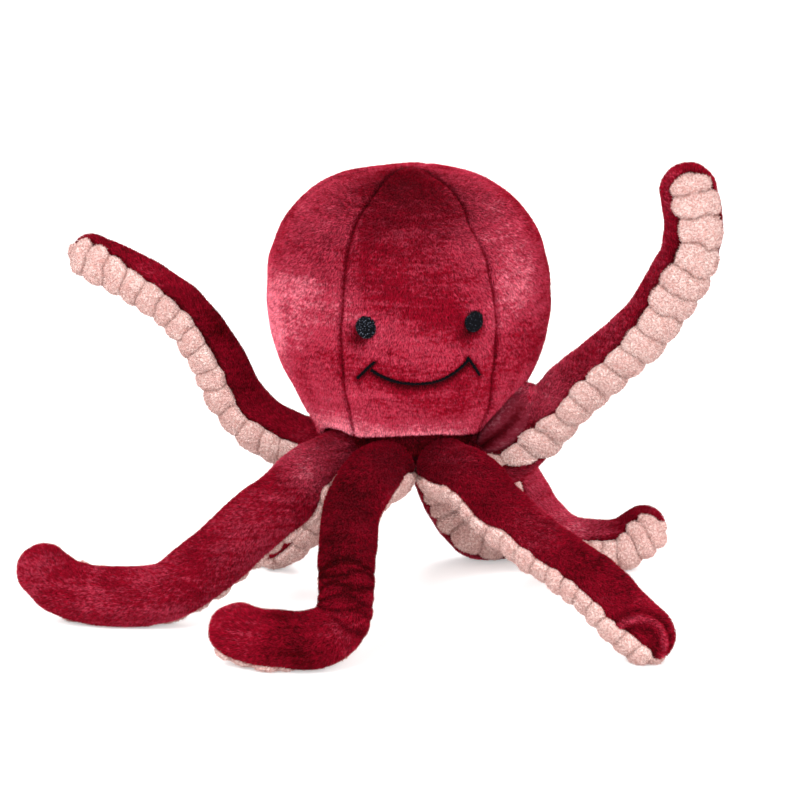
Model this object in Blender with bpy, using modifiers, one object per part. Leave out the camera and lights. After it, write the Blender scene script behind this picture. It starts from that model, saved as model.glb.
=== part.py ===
# A plush octopus: a stuffed head of six gores over a ring of eight stuffed arms.
# Each arm has a plush top panel, a ribbed fleece underside and its own stuffing.
# The face looks along -Y, +X is the viewer's right and +Z is up. Lengths are in metres.

import math
from collections import namedtuple

import bmesh
import bpy
from mathutils import Matrix, Vector

MM = 0.001

# The head, from its hem up
HEAD_RADIUS = 65 * MM  # at the cheeks
HEAD_HEIGHT = 118 * MM  # hem to crown
CHEEK_HEIGHT = 58 * MM  # hem to the widest ring
HEM_RADIUS = 39.5 * MM
HEM_ROUNDING = 3 * MM
NECK_DEPTH = 8 * MM  # of gore cloth below the hem, between the arms' roots
SEAM_PINCH = 1.5 * MM  # how far a seam draws in beside the middle of its gore
GORES = 6
FACE_SEAM_SPREAD = 16  # degrees that the face's two seams move apart from its cheeks to its hem
CROWN_POWER = 2.4  # above 2, the crown is fuller than an ellipse
CHIN_POWER = 1.8

# The cloth and the room between pieces
WALL = 1.2 * MM  # backing and pile together
SEAM_GAP = 0.3 * MM
TURNING_ROOM = 0.3 * MM  # between an arm's root and the pieces round it
HEM_ROOM = 0.6 * MM  # between the arms' roots and the hem over them

# The arms
HIP_HEIGHT = 72 * MM  # the root centres over the floor
ROOT_RADIUS = 14 * MM
ARM_LENGTH = 170 * MM
ARM_RADIUS = 12.6 * MM
CUP_RISE = 8 * MM  # how far the base is tucked up between the roots
RIBS = 15
RIB_HEIGHT = 2 * MM
FLAT_DEPTH = 0.5 * MM  # how deep the floor flattens what lies on it

# The face: heights are over the hem, and angles are around the head's axis
EYE_RADIUS = 5 * MM
EYE_THICKNESS = 1.4 * MM
EYE_SHARES = ((0.7, 0.8), (1.0, 0.3))  # its rim, as shares of its radius and thickness
EYE_HEIGHT = 58 * MM
EYE_RISE = 1.5 * MM  # how much higher the right eye sits than the left
EYE_AZIMUTH = 22.6
FACE_GAP = 0.45 * MM  # between the thread and the facets of its gore
THREAD_RADIUS = 0.7 * MM
SMILE_END = 19.5
SMILE_HEIGHT = 30.1 * MM  # of its lowest point
SMILE_SAG = 8.5 * MM
SMILE_RISE = 4.4 * MM  # how much higher its right end is than its left
CORNER_RISE = 2 * MM  # how far a corner stitch starts over the smile's end
CORNER_DROP = 7.5 * MM
CORNER_START = 1.6
CORNER_SPREAD = 5

# How coarse the faces are
PANEL_SIDES = 4  # across an arm's panel, or a gore
CROWN_RINGS = 6
CHIN_RINGS = 3
CAP_RINGS = 2
COURSE_STEPS = 12  # samples between two points of an arm's course
SMILE_POINTS = 13
CORNER_POINTS = 4
ROUND_STEPS = 24
SETTLING_STEPS = 4  # each takes a lying arm nearer to its height

# Along an arm: its radius, where the girth starts to change to the tip's, and where
# its first roll and its ribs are full
TAPER_SHARES = ((0.0, 1.0), (0.15, 1.04), (0.6, 0.97), (0.9, 1.03), (1.0, 1.0))
TIP_START_SHARE = 0.5
ROLL_SHARE = 0.4
RIB_START_SHARE = 0.1
RIB_EDGE_SHARE = 0.6  # a rib's height at the seams, of its height below
SHORTEST_EDGE_SHARE = 0.001  # of the seam gap: closer points are one

Station = namedtuple("Station", "centre side dorsal radius")
Arm = namedtuple("Arm", "name azimuth girth_shares rolls lies course_shares")

# Each course runs from the root: outwards and sideways as shares of ARM_LENGTH,
# and up as a share of the way from lying on the floor to HIP_HEIGHT. The girths are
# shares of ARM_RADIUS up to TIP_START_SHARE and at the tip. The rolls are the turns
# about the arm's own line, in degrees, at ROLL_SHARE of its length and at its tip.
ARMS = (
    Arm("front_left", -22.5, (1.0, 1.0), (-22, -12), True, (
        (0, 0, 1), (0.1, -0.01, 1), (0.18, -0.03, 0.82), (0.26, -0.015, 0.64), (0.325, 0, 0.45),
        (0.37, 0.013, 0.26), (0.4, 0.005, 0.09), (0.435, -0.045, 0), (0.465, -0.11, 0),
        (0.472, -0.18, 0), (0.467, -0.245, 0.03))),
    Arm("front_right", 22.5, (1.0, 1.0), (-8, -14), True, (
        (0, 0, 1), (0.1, 0.02, 0.98), (0.19, 0.05, 0.8), (0.29, 0.1, 0.61), (0.38, 0.15, 0.47),
        (0.46, 0.2, 0.32), (0.515, 0.24, 0.15), (0.55, 0.285, 0))),
    Arm("right_raised", 67.5, (1.0, 1.0), (-10, -55), False, (
        (0, 0, 1), (0.07, 0, 1.065), (0.138, 0, 1.28), (0.236, 0, 1.595), (0.33, 0, 1.84),
        (0.426, 0, 2.1), (0.498, 0, 2.41), (0.545, 0, 2.68), (0.556, 0, 2.95), (0.541, 0, 3.15))),
    Arm("right_rear", 112.5, (1.0, 0.88), (35, -50), True, (
        (0, 0, 1), (0.062, 0.005, 0.93), (0.128, 0.032, 0.66), (0.222, 0.062, 0.3), (0.326, 0.075, 0.06),
        (0.432, 0.05, 0), (0.49, 0.03, 0.02), (0.538, 0.012, 0.12))),
    Arm("back_right", 157.5, (1.12, 1.0), (-60, -60), True, (
        (0, 0, 1), (0.148, 0.04, 0.88), (0.24, 0.045, 0.6), (0.27, 0.018, 0.28),
        (0.285, -0.055, 0.02), (0.35, -0.14, 0), (0.41, -0.205, 0))),
    Arm("back_left", -157.5, (1.0, 1.0), (-55, -55), True, (
        (0, 0, 1), (0.055, 0.01, 0.92), (0.1, 0.045, 0.72), (0.14, 0.09, 0.48), (0.182, 0.134, 0.24),
        (0.239, 0.165, 0.07), (0.351, 0.157, 0), (0.491, 0.11, 0), (0.612, 0.05, 0))),
    Arm("left_raised", -112.5, (0.97, 0.78), (28, 45), False, (
        (0, 0, 1), (0.1, 0, 1.04), (0.19, 0, 1.14), (0.266, 0, 1.35), (0.324, 0, 1.66),
        (0.407, 0, 1.98), (0.507, 0, 2.19), (0.61, 0, 2.33), (0.686, 0, 2.42))),
    Arm("left_front", -67.5, (1.15, 1.0), (-48, -54), True, (
        (0, 0, 1), (0.08, 0, 0.9), (0.15, 0, 0.74), (0.22, -0.03, 0.59), (0.29, -0.05, 0.4),
        (0.37, -0.07, 0.22), (0.45, -0.11, 0.05), (0.53, -0.16, 0), (0.615, -0.222, 0),
        (0.675, -0.272, 0.05), (0.715, -0.312, 0.16))),
)

# From the head's axis to each root centre, so that the eight roots fit side by side
ROOT_RING = (ROOT_RADIUS + TURNING_ROOM) / math.sin(math.radians(180 / len(ARMS)))
HEM_LEVEL = HIP_HEIGHT + ROOT_RADIUS + HEM_ROOM
CUP_RADIUS = ROOT_RING - ROOT_RADIUS - TURNING_ROOM
NECK_RADIUS = CUP_RADIUS - WALL - SEAM_GAP
CUP_BOTTOM = HIP_HEIGHT - ROOT_RADIUS + CUP_RISE


def clear_scene():
    for old in list(bpy.data.objects):
        bpy.data.objects.remove(old, do_unlink=True)


def make_collection(name):
    collection = bpy.data.collections.new(name)
    bpy.context.scene.collection.children.link(collection)
    return collection


def make_material(name, colour, roughness):
    material = bpy.data.materials.new(name)
    material.use_nodes = True
    shader = material.node_tree.nodes["Principled BSDF"]
    shader.inputs["Base Color"].default_value = (*colour, 1)
    shader.inputs["Roughness"].default_value = roughness
    shader.inputs["Metallic"].default_value = 0
    return material


def plush(name):
    return make_material(name, (0.30, 0.012, 0.03), 0.8)


def fleece(name):
    return make_material(name, (0.78, 0.52, 0.49), 0.9)


def fibre(name):
    return make_material(name, (0.85, 0.85, 0.82), 1)


def thread(name):
    return make_material(name, (0.012, 0.012, 0.014), 0.6)


def make_empty(name, location, parent):
    empty = bpy.data.objects.new(name, None)
    empty.empty_display_size = ARM_RADIUS
    empty.location = location
    empty.parent = parent
    parts.objects.link(empty)
    return empty


def make_part(name, mesh, paint, parent):
    part = bpy.data.objects.new(name, mesh)
    part.data.materials.append(paint(name))
    part.parent = parent
    parts.objects.link(part)
    return part


def finish_mesh(name, build):
    """Joins points that meet, as at a pole, and turns the faces outwards."""
    bmesh.ops.remove_doubles(build, verts=build.verts, dist=SEAM_GAP * SHORTEST_EDGE_SHARE)
    if build.calc_volume(signed=True) < 0:
        bmesh.ops.reverse_faces(build, faces=build.faces)
    mesh = bpy.data.meshes.new(name)
    build.to_mesh(mesh)
    build.free()
    mesh.shade_smooth()
    return mesh


def add_strips(build, rings, closed=False, inwards=False):
    """Triangles between each ring of points and the next.

    Every surface has the same diagonals, so that those of a twisted arm stay parallel.
    """
    for first, second in zip(rings, rings[1:]):
        for i in range(len(first) - (0 if closed else 1)):
            j = (i + 1) % len(first)
            for corners in (
                (first[i], first[j], second[j]),
                (first[i], second[j], second[i]),
            ):
                build.faces.new(corners[::-1] if inwards else corners)


def shifted(rings, shift):
    return [[point + shift for point in ring] for ring in rings]


def add_rings(build, rings):
    return [[build.verts.new(point) for point in ring] for ring in rings]


def shell_mesh(name, outside, inside):
    """A cloth panel: its outer and inner rings of points, and the wall along its edge.

    The outside may have several rings for each span of the inside.
    """
    build = bmesh.new()
    outer = add_rings(build, outside)
    inner = add_rings(build, inside)
    add_strips(build, outer)
    add_strips(build, inner, inwards=True)
    step = (len(outer) - 1) // (len(inner) - 1)
    for k in range(len(inner) - 1):
        span = outer[k * step : (k + 1) * step + 1]
        build.faces.new((*(ring[0] for ring in span), inner[k + 1][0], inner[k][0]))
        build.faces.new((*(ring[-1] for ring in span[::-1]), inner[k][-1], inner[k + 1][-1]))
    for i in range(len(outer[0]) - 1):
        build.faces.new((outer[0][i + 1], outer[0][i], inner[0][i], inner[0][i + 1]))
        build.faces.new((outer[-1][i], outer[-1][i + 1], inner[-1][i + 1], inner[-1][i]))
    return finish_mesh(name, build)


def solid_mesh(name, rings):
    """A stuffing: closed rings from one pole to the other."""
    build = bmesh.new()
    add_strips(build, add_rings(build, rings), closed=True)
    return finish_mesh(name, build)


def turned_mesh(name, profile):
    """A half profile, from the axis up inside and down outside, for a Screw modifier."""
    build = bmesh.new()
    points = [build.verts.new((across, 0, up)) for across, up in profile]
    for first, second in zip(points, points[1:]):
        build.edges.new((first, second))
    mesh = bpy.data.meshes.new(name)
    build.to_mesh(mesh)
    build.free()
    return mesh


def turn(part):
    screw = part.modifiers.new("Turned", "SCREW")
    screw.steps = ROUND_STEPS
    screw.render_steps = ROUND_STEPS
    screw.use_merge_vertices = True
    screw.merge_threshold = SEAM_GAP * SHORTEST_EDGE_SHARE
    screw.use_smooth_shade = True


# The head
def head_profile():
    """The gores' outline from the crown to the neck, as (radius, height) pairs."""
    profile = []
    crown = HEAD_HEIGHT - CHEEK_HEIGHT
    for k in range(CROWN_RINGS):
        around = math.radians(90) * k / CROWN_RINGS
        across = math.sin(around) ** (2 / CROWN_POWER)
        up = math.cos(around) ** (2 / CROWN_POWER)
        profile.append((HEAD_RADIUS * across, HEM_LEVEL + CHEEK_HEIGHT + crown * up))
    for k in range(CHIN_RINGS):
        height = CHEEK_HEIGHT * (1 - k / CHIN_RINGS)
        profile.append((chin_radius(height), HEM_LEVEL + height))
    profile.append((chin_radius(HEM_ROUNDING), HEM_LEVEL + HEM_ROUNDING))
    profile.append((HEM_RADIUS - HEM_ROUNDING, HEM_LEVEL))
    profile.append((CUP_RADIUS, HEM_LEVEL))
    profile.append((CUP_RADIUS, HEM_LEVEL - NECK_DEPTH))
    return profile


def chin_radius(height):
    drop = 1 - height / CHEEK_HEIGHT
    return HEAD_RADIUS - (HEAD_RADIUS - HEM_RADIUS) * drop**CHIN_POWER


def inset(profile, depth):
    """The profile moved inwards by depth. Its first point is on the axis."""
    points = [Vector(point) for point in profile]
    inward = []
    for k, point in enumerate(points):
        before = points[k] - points[k - 1] if k else Vector((1, 0))
        after = points[k + 1] - points[k] if k + 1 < len(points) else before
        normals = [Vector((-run.y, run.x)).normalized() for run in (before, after)]
        bisector = (normals[0] + normals[1]).normalized()
        inward.append(point - bisector * depth / bisector.dot(normals[0]))
    return [(max(point.x, 0), point.y) for point in inward]


def pinched(radius, offset):
    """The radius at an offset, from -1 at one seam of a gore to 1 at the next."""
    return radius - SEAM_PINCH * offset**2 * radius / HEAD_RADIUS


def seam_azimuth(number, height):
    """Where a seam runs at a height. Seam 0 is at the right of the face, and -1 at its left."""
    drop = 1 - (height - HEM_LEVEL) / CHEEK_HEIGHT
    spread = FACE_SEAM_SPREAD * min(max(drop, 0), 1) ** 2
    sideways = {0: spread, GORES - 1: -spread}.get(number % GORES, 0)
    return 360 / GORES * (number + 0.5) + sideways


def gore_ring(index, radius, height):
    """Points across a gore at one height. Gore 0 is the face, and the next is at its right."""
    first = seam_azimuth(index - 1, height)
    last = seam_azimuth(index, height)
    ring = []
    for k in range(PANEL_SIDES + 1):
        share = k / PANEL_SIDES
        azimuth = first + (last - first) * share
        ring.append(around_axis(azimuth, pinched(radius, 2 * share - 1), height))
    return ring


def around_axis(azimuth, radius, height):
    """A point at degrees from the face, positive towards the viewer's right."""
    turned = math.radians(azimuth)
    return Vector((radius * math.sin(turned), -radius * math.cos(turned), height))


def seam_shift(middle):
    """How far a gore lies out from the axis, so that its seams have their gap."""
    return around_axis(middle, SEAM_GAP / 2 / math.sin(math.radians(180 / GORES)), 0)


def build_gore(name, index, rest):
    shift = seam_shift(360 / GORES * index)
    faces = []
    for profile in (head_profile(), inset(head_profile(), WALL)):
        faces.append(shifted([gore_ring(index, *point) for point in profile], shift))
    make_part(name, shell_mesh(name, *faces), plush, rest)


def build_head_stuffing(rest):
    bottom = CUP_BOTTOM + WALL + SEAM_GAP
    filled = inset(head_profile(), WALL + SEAM_GAP)[:-1]
    filled += [(NECK_RADIUS, bottom), (0, bottom)]
    rings = []
    for radius, height in filled:
        ring = []
        for index in range(GORES):
            ring += gore_ring(index, radius, height)[:-1]
        rings.append(ring)
    name = "head_stuffing"
    make_part(name, solid_mesh(name, rings), fibre, rest)


def build_base_cup(rest):
    top = HEM_LEVEL - NECK_DEPTH - SEAM_GAP
    profile = [
        (0, CUP_BOTTOM + WALL), (CUP_RADIUS - WALL, CUP_BOTTOM + WALL), (CUP_RADIUS - WALL, top),
        (CUP_RADIUS, top), (CUP_RADIUS, CUP_BOTTOM), (0, CUP_BOTTOM),
    ]
    turn(make_part("base_cup", turned_mesh("base_cup", profile), fleece, rest))


# The face
def on_face(azimuth, height):
    """The point on the face gore's facets at an azimuth and a height over the hem."""
    level = HEM_LEVEL + height
    rings = [gore_ring(0, *point) for point in head_profile() if point[1] > HEM_LEVEL]
    for upper, lower in zip(rings, rings[1:]):
        if upper[0].z >= level >= lower[0].z:
            drop = (upper[0].z - level) / (upper[0].z - lower[0].z)
            across = [above.lerp(below, drop) for above, below in zip(upper, lower)]
            half = math.degrees(math.atan2(across[-1].x, -across[-1].y))
            place = (azimuth / half + 1) / 2 * PANEL_SIDES
            low = min(int(place), PANEL_SIDES - 1)
            return across[low].lerp(across[low + 1], place - low) + seam_shift(0)
    raise ValueError("The height is off the face.")


def face_normal(azimuth, height, reach):
    turned = math.degrees(reach / HEAD_RADIUS)
    across = on_face(azimuth + turned, height) - on_face(azimuth - turned, height)
    upwards = on_face(azimuth, height + reach) - on_face(azimuth, height - reach)
    return across.cross(upwards).normalized()


def build_eye(name, way, rest):
    height = EYE_HEIGHT + way * EYE_RISE / 2
    normal = face_normal(way * EYE_AZIMUTH, height, EYE_RADIUS / 2)
    profile = [(0, EYE_THICKNESS)]
    profile += [(EYE_RADIUS * across, EYE_THICKNESS * up) for across, up in EYE_SHARES]
    profile += [(EYE_RADIUS, 0), (0, 0)]
    eye = make_part(name, turned_mesh(name, profile), thread, rest)
    turn(eye)
    eye.location = on_face(way * EYE_AZIMUTH, height) + normal * FACE_GAP
    eye.rotation_euler = normal.to_track_quat("Z", "Y").to_euler()


def build_stitch(name, places, rest):
    """A line of thread over the face through (azimuth, height) places."""
    curve = bpy.data.curves.new(name, "CURVE")
    curve.dimensions = "3D"
    curve.bevel_depth = THREAD_RADIUS
    curve.bevel_resolution = 1
    curve.use_fill_caps = True
    line = curve.splines.new("POLY")
    line.points.add(len(places) - 1)
    for point, (azimuth, height) in zip(line.points, places):
        normal = face_normal(azimuth, height, THREAD_RADIUS)
        place = on_face(azimuth, height) + normal * (THREAD_RADIUS + FACE_GAP)
        point.co = (*place, 1)
    make_part(name, curve, thread, rest)


def smile_place(share):
    """A place on the smile, from -1 at the left to 1 at the right."""
    return share * SMILE_END, SMILE_HEIGHT + SMILE_SAG * share**2 + SMILE_RISE * share / 2


def build_smile(rest):
    spread = [2 * k / (SMILE_POINTS - 1) - 1 for k in range(SMILE_POINTS)]
    build_stitch("smile_stitch", [smile_place(share) for share in spread], rest)
    for name, way in (("left_smile_corner", -1), ("right_smile_corner", 1)):
        azimuth, height = smile_place(way)
        places = []
        for k in range(CORNER_POINTS):
            share = k / (CORNER_POINTS - 1)
            out = CORNER_START + CORNER_SPREAD * share
            places.append((azimuth + way * out, height + CORNER_RISE - CORNER_DROP * share))
        build_stitch(name, places, rest)


# The arms
def catmull_rom(points):
    """Samples of the smooth line through the points."""
    padded = [2 * points[0] - points[1], *points, 2 * points[-1] - points[-2]]
    line = []
    for a, b, c, d in zip(padded, padded[1:], padded[2:], padded[3:]):
        for k in range(COURSE_STEPS):
            t = k / COURSE_STEPS
            line.append(
                b + (c - a) * t / 2
                + (2 * a - 5 * b + 4 * c - d) * t**2 / 2
                + (3 * b - a - 3 * c + d) * t**3 / 2
            )
    return line + [points[-1]]


def even_points(line, count):
    """Count + 1 points spaced evenly along a line of samples."""
    lengths = [0]
    for first, second in zip(line, line[1:]):
        lengths.append(lengths[-1] + (second - first).length)
    spaced = []
    k = 0
    for n in range(count + 1):
        wanted = lengths[-1] * n / count
        while k < len(line) - 2 and lengths[k + 1] < wanted:
            k += 1
        share = (wanted - lengths[k]) / (lengths[k + 1] - lengths[k])
        spaced.append(line[k].lerp(line[k + 1], share))
    return spaced


def root_centre(arm):
    return around_axis(arm.azimuth, ROOT_RING, HIP_HEIGHT)


def course_points(arm, lie_height):
    outwards = around_axis(arm.azimuth, 1, 0)
    sideways = Vector((0, 0, 1)).cross(outwards)
    root = root_centre(arm)
    points = []
    for out, side, up in arm.course_shares:
        point = root + ARM_LENGTH * (out * outwards + side * sideways)
        point.z = lie_height + (HIP_HEIGHT - lie_height) * up
        points.append(point)
    return even_points(catmull_rom(points), RIBS)


def taper(share):
    for (start, low), (end, high) in zip(TAPER_SHARES, TAPER_SHARES[1:]):
        if share <= end:
            return low + (high - low) * (share - start) / (end - start)
    return TAPER_SHARES[-1][1]


def girth(arm, share):
    middle, tip = arm.girth_shares
    return middle + (tip - middle) * max(0, share - TIP_START_SHARE) / (1 - TIP_START_SHARE)


def roll_at(arm, share):
    early, late = (math.radians(angle) for angle in arm.rolls)
    if share < ROLL_SHARE:
        return early * share / ROLL_SHARE
    return early + (late - early) * (share - ROLL_SHARE) / (1 - ROLL_SHARE)


def arm_stations(arm, lie_height):
    """The arm's sections, one for each groove between ribs, with a round cap at each end.

    The root's faces the head's axis, so that its cap lies against the base.
    """
    centres = course_points(arm, lie_height)
    dorsal = Vector((0, 0, 1))
    stations = []
    for k, centre in enumerate(centres):
        ahead = centres[min(k + 1, RIBS)] - centres[max(k - 1, 0)]
        tangent = ahead.normalized() if k else around_axis(arm.azimuth, 1, 0)
        dorsal = (dorsal - dorsal.dot(tangent) * tangent).normalized()
        share = k / RIBS
        upwards = Matrix.Rotation(roll_at(arm, share), 3, tangent) @ dorsal
        grown = min(1, share / RIB_START_SHARE)
        full = ARM_RADIUS * girth(arm, share) * taper(share)
        radius = ROOT_RADIUS + (full - ROOT_RADIUS) * grown
        stations.append(Station(centre, upwards.cross(tangent), upwards, radius))
    return capped(stations[0], -1) + stations + capped(stations[-1], 1)[::-1]


def capped(station, way):
    """The rings of a half ball on a station, from its pole inwards."""
    tangent = station.side.cross(station.dorsal) * way
    rings = []
    for k in range(CAP_RINGS):
        angle = math.radians(90) * k / CAP_RINGS
        rings.append(station._replace(
            centre=station.centre + tangent * station.radius * math.cos(angle),
            radius=station.radius * math.sin(angle),
        ))
    return rings


def section(station, angles, bulge=0):
    """Points round a station, with a rib's bulge."""
    ring = []
    for angle in angles:
        swell = bulge * (RIB_EDGE_SHARE + (1 - RIB_EDGE_SHARE) * abs(math.sin(angle)))
        spoke = math.cos(angle) * station.side + math.sin(angle) * station.dorsal
        ring.append(station.centre + (station.radius + swell) * spoke)
    return ring


def inner_stations(stations, depth):
    """The stations of a surface that lies depth inside: the poles and cap rings draw in."""
    inner = []
    first, last = stations[CAP_RINGS], stations[-1 - CAP_RINGS]
    for k, station in enumerate(stations):
        if k < CAP_RINGS:
            inner.append(drawn_in(station, first, depth))
        elif k >= len(stations) - CAP_RINGS:
            inner.append(drawn_in(station, last, depth))
        else:
            inner.append(station._replace(radius=station.radius - depth))
    return inner


def drawn_in(station, base, depth):
    share = (base.radius - depth) / base.radius
    return station._replace(
        centre=base.centre + (station.centre - base.centre) * share,
        radius=station.radius * share,
    )


def rib_rings(stations, angles):
    """The grooves' sections with a rib's crest between each two."""
    rings = [section(stations[0], angles)]
    last_rib = len(stations) - CAP_RINGS - 1
    for k, (first, second) in enumerate(zip(stations, stations[1:])):
        ribbed = CAP_RINGS <= k < last_rib
        grown = min(1, (k - CAP_RINGS + 1) / (RIB_START_SHARE * RIBS))
        crest = Station(
            (first.centre + second.centre) / 2, (first.side + second.side) / 2,
            (first.dorsal + second.dorsal) / 2, (first.radius + second.radius) / 2,
        )
        rings.append(section(crest, angles, RIB_HEIGHT * grown if ribbed else 0))
        rings.append(section(second, angles))
    return rings


def seam_parted(rings, stations, way):
    """Each ring moved off the seam by half its gap, up for a top and down for an underside."""
    per_station = (len(rings) - 1) // (len(stations) - 1)
    parted = []
    for k, ring in enumerate(rings):
        parted += shifted([ring], stations[k // per_station].dorsal * way * SEAM_GAP / 2)
    return parted


def settled_height(arm):
    """The height of a lying arm's centre line that sinks its lowest rib by FLAT_DEPTH."""
    height = ARM_RADIUS
    for _ in range(SETTLING_STEPS):
        stations = arm_stations(arm, height)
        rings = rib_rings(stations, panel_angles(180))
        rings += [section(s, panel_angles(0)) for s in stations]
        lowest = min(point.z for ring in rings for point in ring)
        height -= lowest + FLAT_DEPTH
    return height


def panel_angles(start):
    return [math.radians(start + 180 * k / PANEL_SIDES) for k in range(PANEL_SIDES + 1)]


def build_arm(arm, rest, floor):
    stations = arm_stations(arm, settled_height(arm) if arm.lies else ARM_RADIUS)
    joint = make_empty(arm.name + "_arm_joint", root_centre(arm), rest)
    build_panel(arm, "top", stations, plush, joint, floor)
    build_panel(arm, "underside", stations, fleece, joint, floor)
    filled = inner_stations(stations, WALL + SEAM_GAP)
    angles = panel_angles(0)[:-1] + panel_angles(180)[:-1]
    rings = shifted([section(s, angles) for s in filled], -root_centre(arm))
    name = arm.name + "_arm_stuffing"
    make_part(name, solid_mesh(name, rings), fibre, joint)


def build_panel(arm, side, stations, paint, joint, floor):
    """One of the two cloth halves of an arm. The underside has the ribs."""
    way = 1 if side == "top" else -1
    angles = panel_angles(0 if side == "top" else 180)
    plain = [section(s, angles) for s in stations]
    faces = []
    for rings in (
        plain if side == "top" else rib_rings(stations, angles),
        [section(s, angles) for s in inner_stations(stations, WALL)],
    ):
        faces.append(shifted(seam_parted(rings, stations, way), -root_centre(arm)))
    name = f"{arm.name}_arm_{side}"
    panel = make_part(name, shell_mesh(name, *faces), paint, joint)
    if arm.lies:
        press = panel.modifiers.new("Pressed flat", "BOOLEAN")
        press.object = floor


def build_floor_cutter(cutters, rest):
    span = 4 * ARM_LENGTH
    build = bmesh.new()
    bmesh.ops.create_cube(build, size=1, matrix=Matrix.Translation((0, 0, -0.5)))
    bmesh.ops.scale(build, vec=(span, span, ROOT_RADIUS), verts=build.verts)
    mesh = bpy.data.meshes.new("floor_cutter")
    build.to_mesh(mesh)
    build.free()
    cutter = bpy.data.objects.new("floor_cutter", mesh)
    cutter.parent = rest
    cutter.hide_render = True
    cutter.display_type = "WIRE"
    cutters.objects.link(cutter)
    return cutter


def centre_on_floor(rest):
    """Moves the whole so that the middle of its box's base is at the origin."""
    bpy.context.view_layer.update()
    shapes = bpy.context.evaluated_depsgraph_get()
    corners = []
    for part in parts.objects:
        if part.type != "EMPTY":
            shape = part.evaluated_get(shapes)
            mesh = shape.to_mesh()
            corners += [shape.matrix_world @ vertex.co for vertex in mesh.vertices]
            shape.to_mesh_clear()
    for axis in (0, 1):
        values = [corner[axis] for corner in corners]
        rest.location[axis] = -(min(values) + max(values)) / 2
    bpy.context.view_layer.update()


clear_scene()
parts = make_collection("Plush octopus")
cutters = make_collection("Cutters")
body_rest = make_empty("octopus", (0, 0, 0), None)
floor_cutter = build_floor_cutter(cutters, body_rest)
gore_names = ("face", "right_cheek", "right_back", "back", "left_back", "left_cheek")
for gore_index, gore_name in enumerate(gore_names):
    build_gore(gore_name + "_gore", gore_index, body_rest)
build_head_stuffing(body_rest)
build_base_cup(body_rest)
build_eye("left_eye", -1, body_rest)
build_eye("right_eye", 1, body_rest)
build_smile(body_rest)
for one_arm in ARMS:
    build_arm(one_arm, body_rest, floor_cutter)
centre_on_floor(body_rest)
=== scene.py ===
# A plush octopus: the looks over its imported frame, in metres, with +Z up and the face along -Y.
import math

import bpy
import numpy as np
from mathutils import Matrix, Vector


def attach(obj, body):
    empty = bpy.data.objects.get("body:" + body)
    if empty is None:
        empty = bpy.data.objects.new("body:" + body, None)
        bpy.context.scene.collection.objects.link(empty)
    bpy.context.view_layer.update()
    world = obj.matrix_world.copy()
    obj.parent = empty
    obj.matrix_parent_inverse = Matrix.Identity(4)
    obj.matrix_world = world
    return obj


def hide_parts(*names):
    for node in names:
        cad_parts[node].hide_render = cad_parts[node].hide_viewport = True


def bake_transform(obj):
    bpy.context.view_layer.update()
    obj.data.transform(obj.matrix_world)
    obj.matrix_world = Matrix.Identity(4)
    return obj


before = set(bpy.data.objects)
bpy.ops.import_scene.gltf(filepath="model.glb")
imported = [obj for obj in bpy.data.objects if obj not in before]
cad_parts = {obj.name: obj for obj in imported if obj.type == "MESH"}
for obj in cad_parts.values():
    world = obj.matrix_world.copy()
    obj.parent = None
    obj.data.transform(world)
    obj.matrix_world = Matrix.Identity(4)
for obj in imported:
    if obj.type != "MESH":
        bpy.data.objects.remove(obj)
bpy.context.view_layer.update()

mm = 0.001
noFloor = -1.0  # the level under a piece that never meets the floor
axisSpot = Vector((22.32 * mm, -12.71 * mm, 0))  # the head's axis on the floor
scene = bpy.context.scene


# Node helpers
def addNode(tree, kind, inputs=None, **settings):
    made = tree.nodes.new(kind)
    for name, value in settings.items():
        setattr(made, name, value)
    for key, value in (inputs or {}).items():
        if isinstance(value, bpy.types.NodeSocket):
            tree.links.new(value, made.inputs[key])
        else:
            made.inputs[key].default_value = value
    return made


def calc(tree, operation, *values):
    made = addNode(tree, "ShaderNodeMath", dict(enumerate(values)), operation=operation)
    return made.outputs[0]


def calcVector(tree, operation, *values):
    made = addNode(tree, "ShaderNodeVectorMath", dict(enumerate(values)), operation=operation)
    return made.outputs[0]


def scaled(tree, vector, factor):
    return addNode(tree, "ShaderNodeVectorMath", {0: vector, "Scale": factor}, operation="SCALE").outputs[0]


def ramped(tree, value, low, high, outLow=0.0, outHigh=1.0, smooth=False):
    kind = "SMOOTHSTEP" if smooth else "LINEAR"
    inputs = {"Value": value, "From Min": low, "From Max": high, "To Min": outLow, "To Max": outHigh}
    return addNode(tree, "ShaderNodeMapRange", inputs, interpolation_type=kind).outputs["Result"]


def mixedColour(tree, factor, first, second, blend="MIX"):
    inputs = {0: factor, 6: first, 7: second}
    made = addNode(tree, "ShaderNodeMix", inputs, data_type="RGBA", blend_type=blend)
    return made.outputs[2]


def dimmed(tree, colour, shade):
    grey = addNode(tree, "ShaderNodeCombineColor", {0: shade, 1: shade, 2: shade}).outputs[0]
    return mixedColour(tree, 1.0, colour, grey, "MULTIPLY")


def patches(tree, coords, size, stretch=(1, 1, 1), detail=2.0, distortion=0.0):
    # Soft noise whose spots are about as large as size.
    stretched = addNode(tree, "ShaderNodeMapping", {"Vector": coords, "Scale": stretch}).outputs[0]
    inputs = {"Vector": stretched, "Scale": 1 / size, "Detail": detail, "Distortion": distortion}
    return addNode(tree, "ShaderNodeTexNoise", inputs).outputs["Fac"]


def newTree(name, sizes):
    tree = bpy.data.node_groups.new(name, "GeometryNodeTree")
    tree.interface.new_socket("Geometry", in_out="INPUT", socket_type="NodeSocketGeometry")
    for label, kind in sizes.items():
        tree.interface.new_socket(label, in_out="INPUT", socket_type="NodeSocket" + kind)
    tree.interface.new_socket("Geometry", in_out="OUTPUT", socket_type="NodeSocketGeometry")
    return tree, addNode(tree, "NodeGroupInput").outputs


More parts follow.
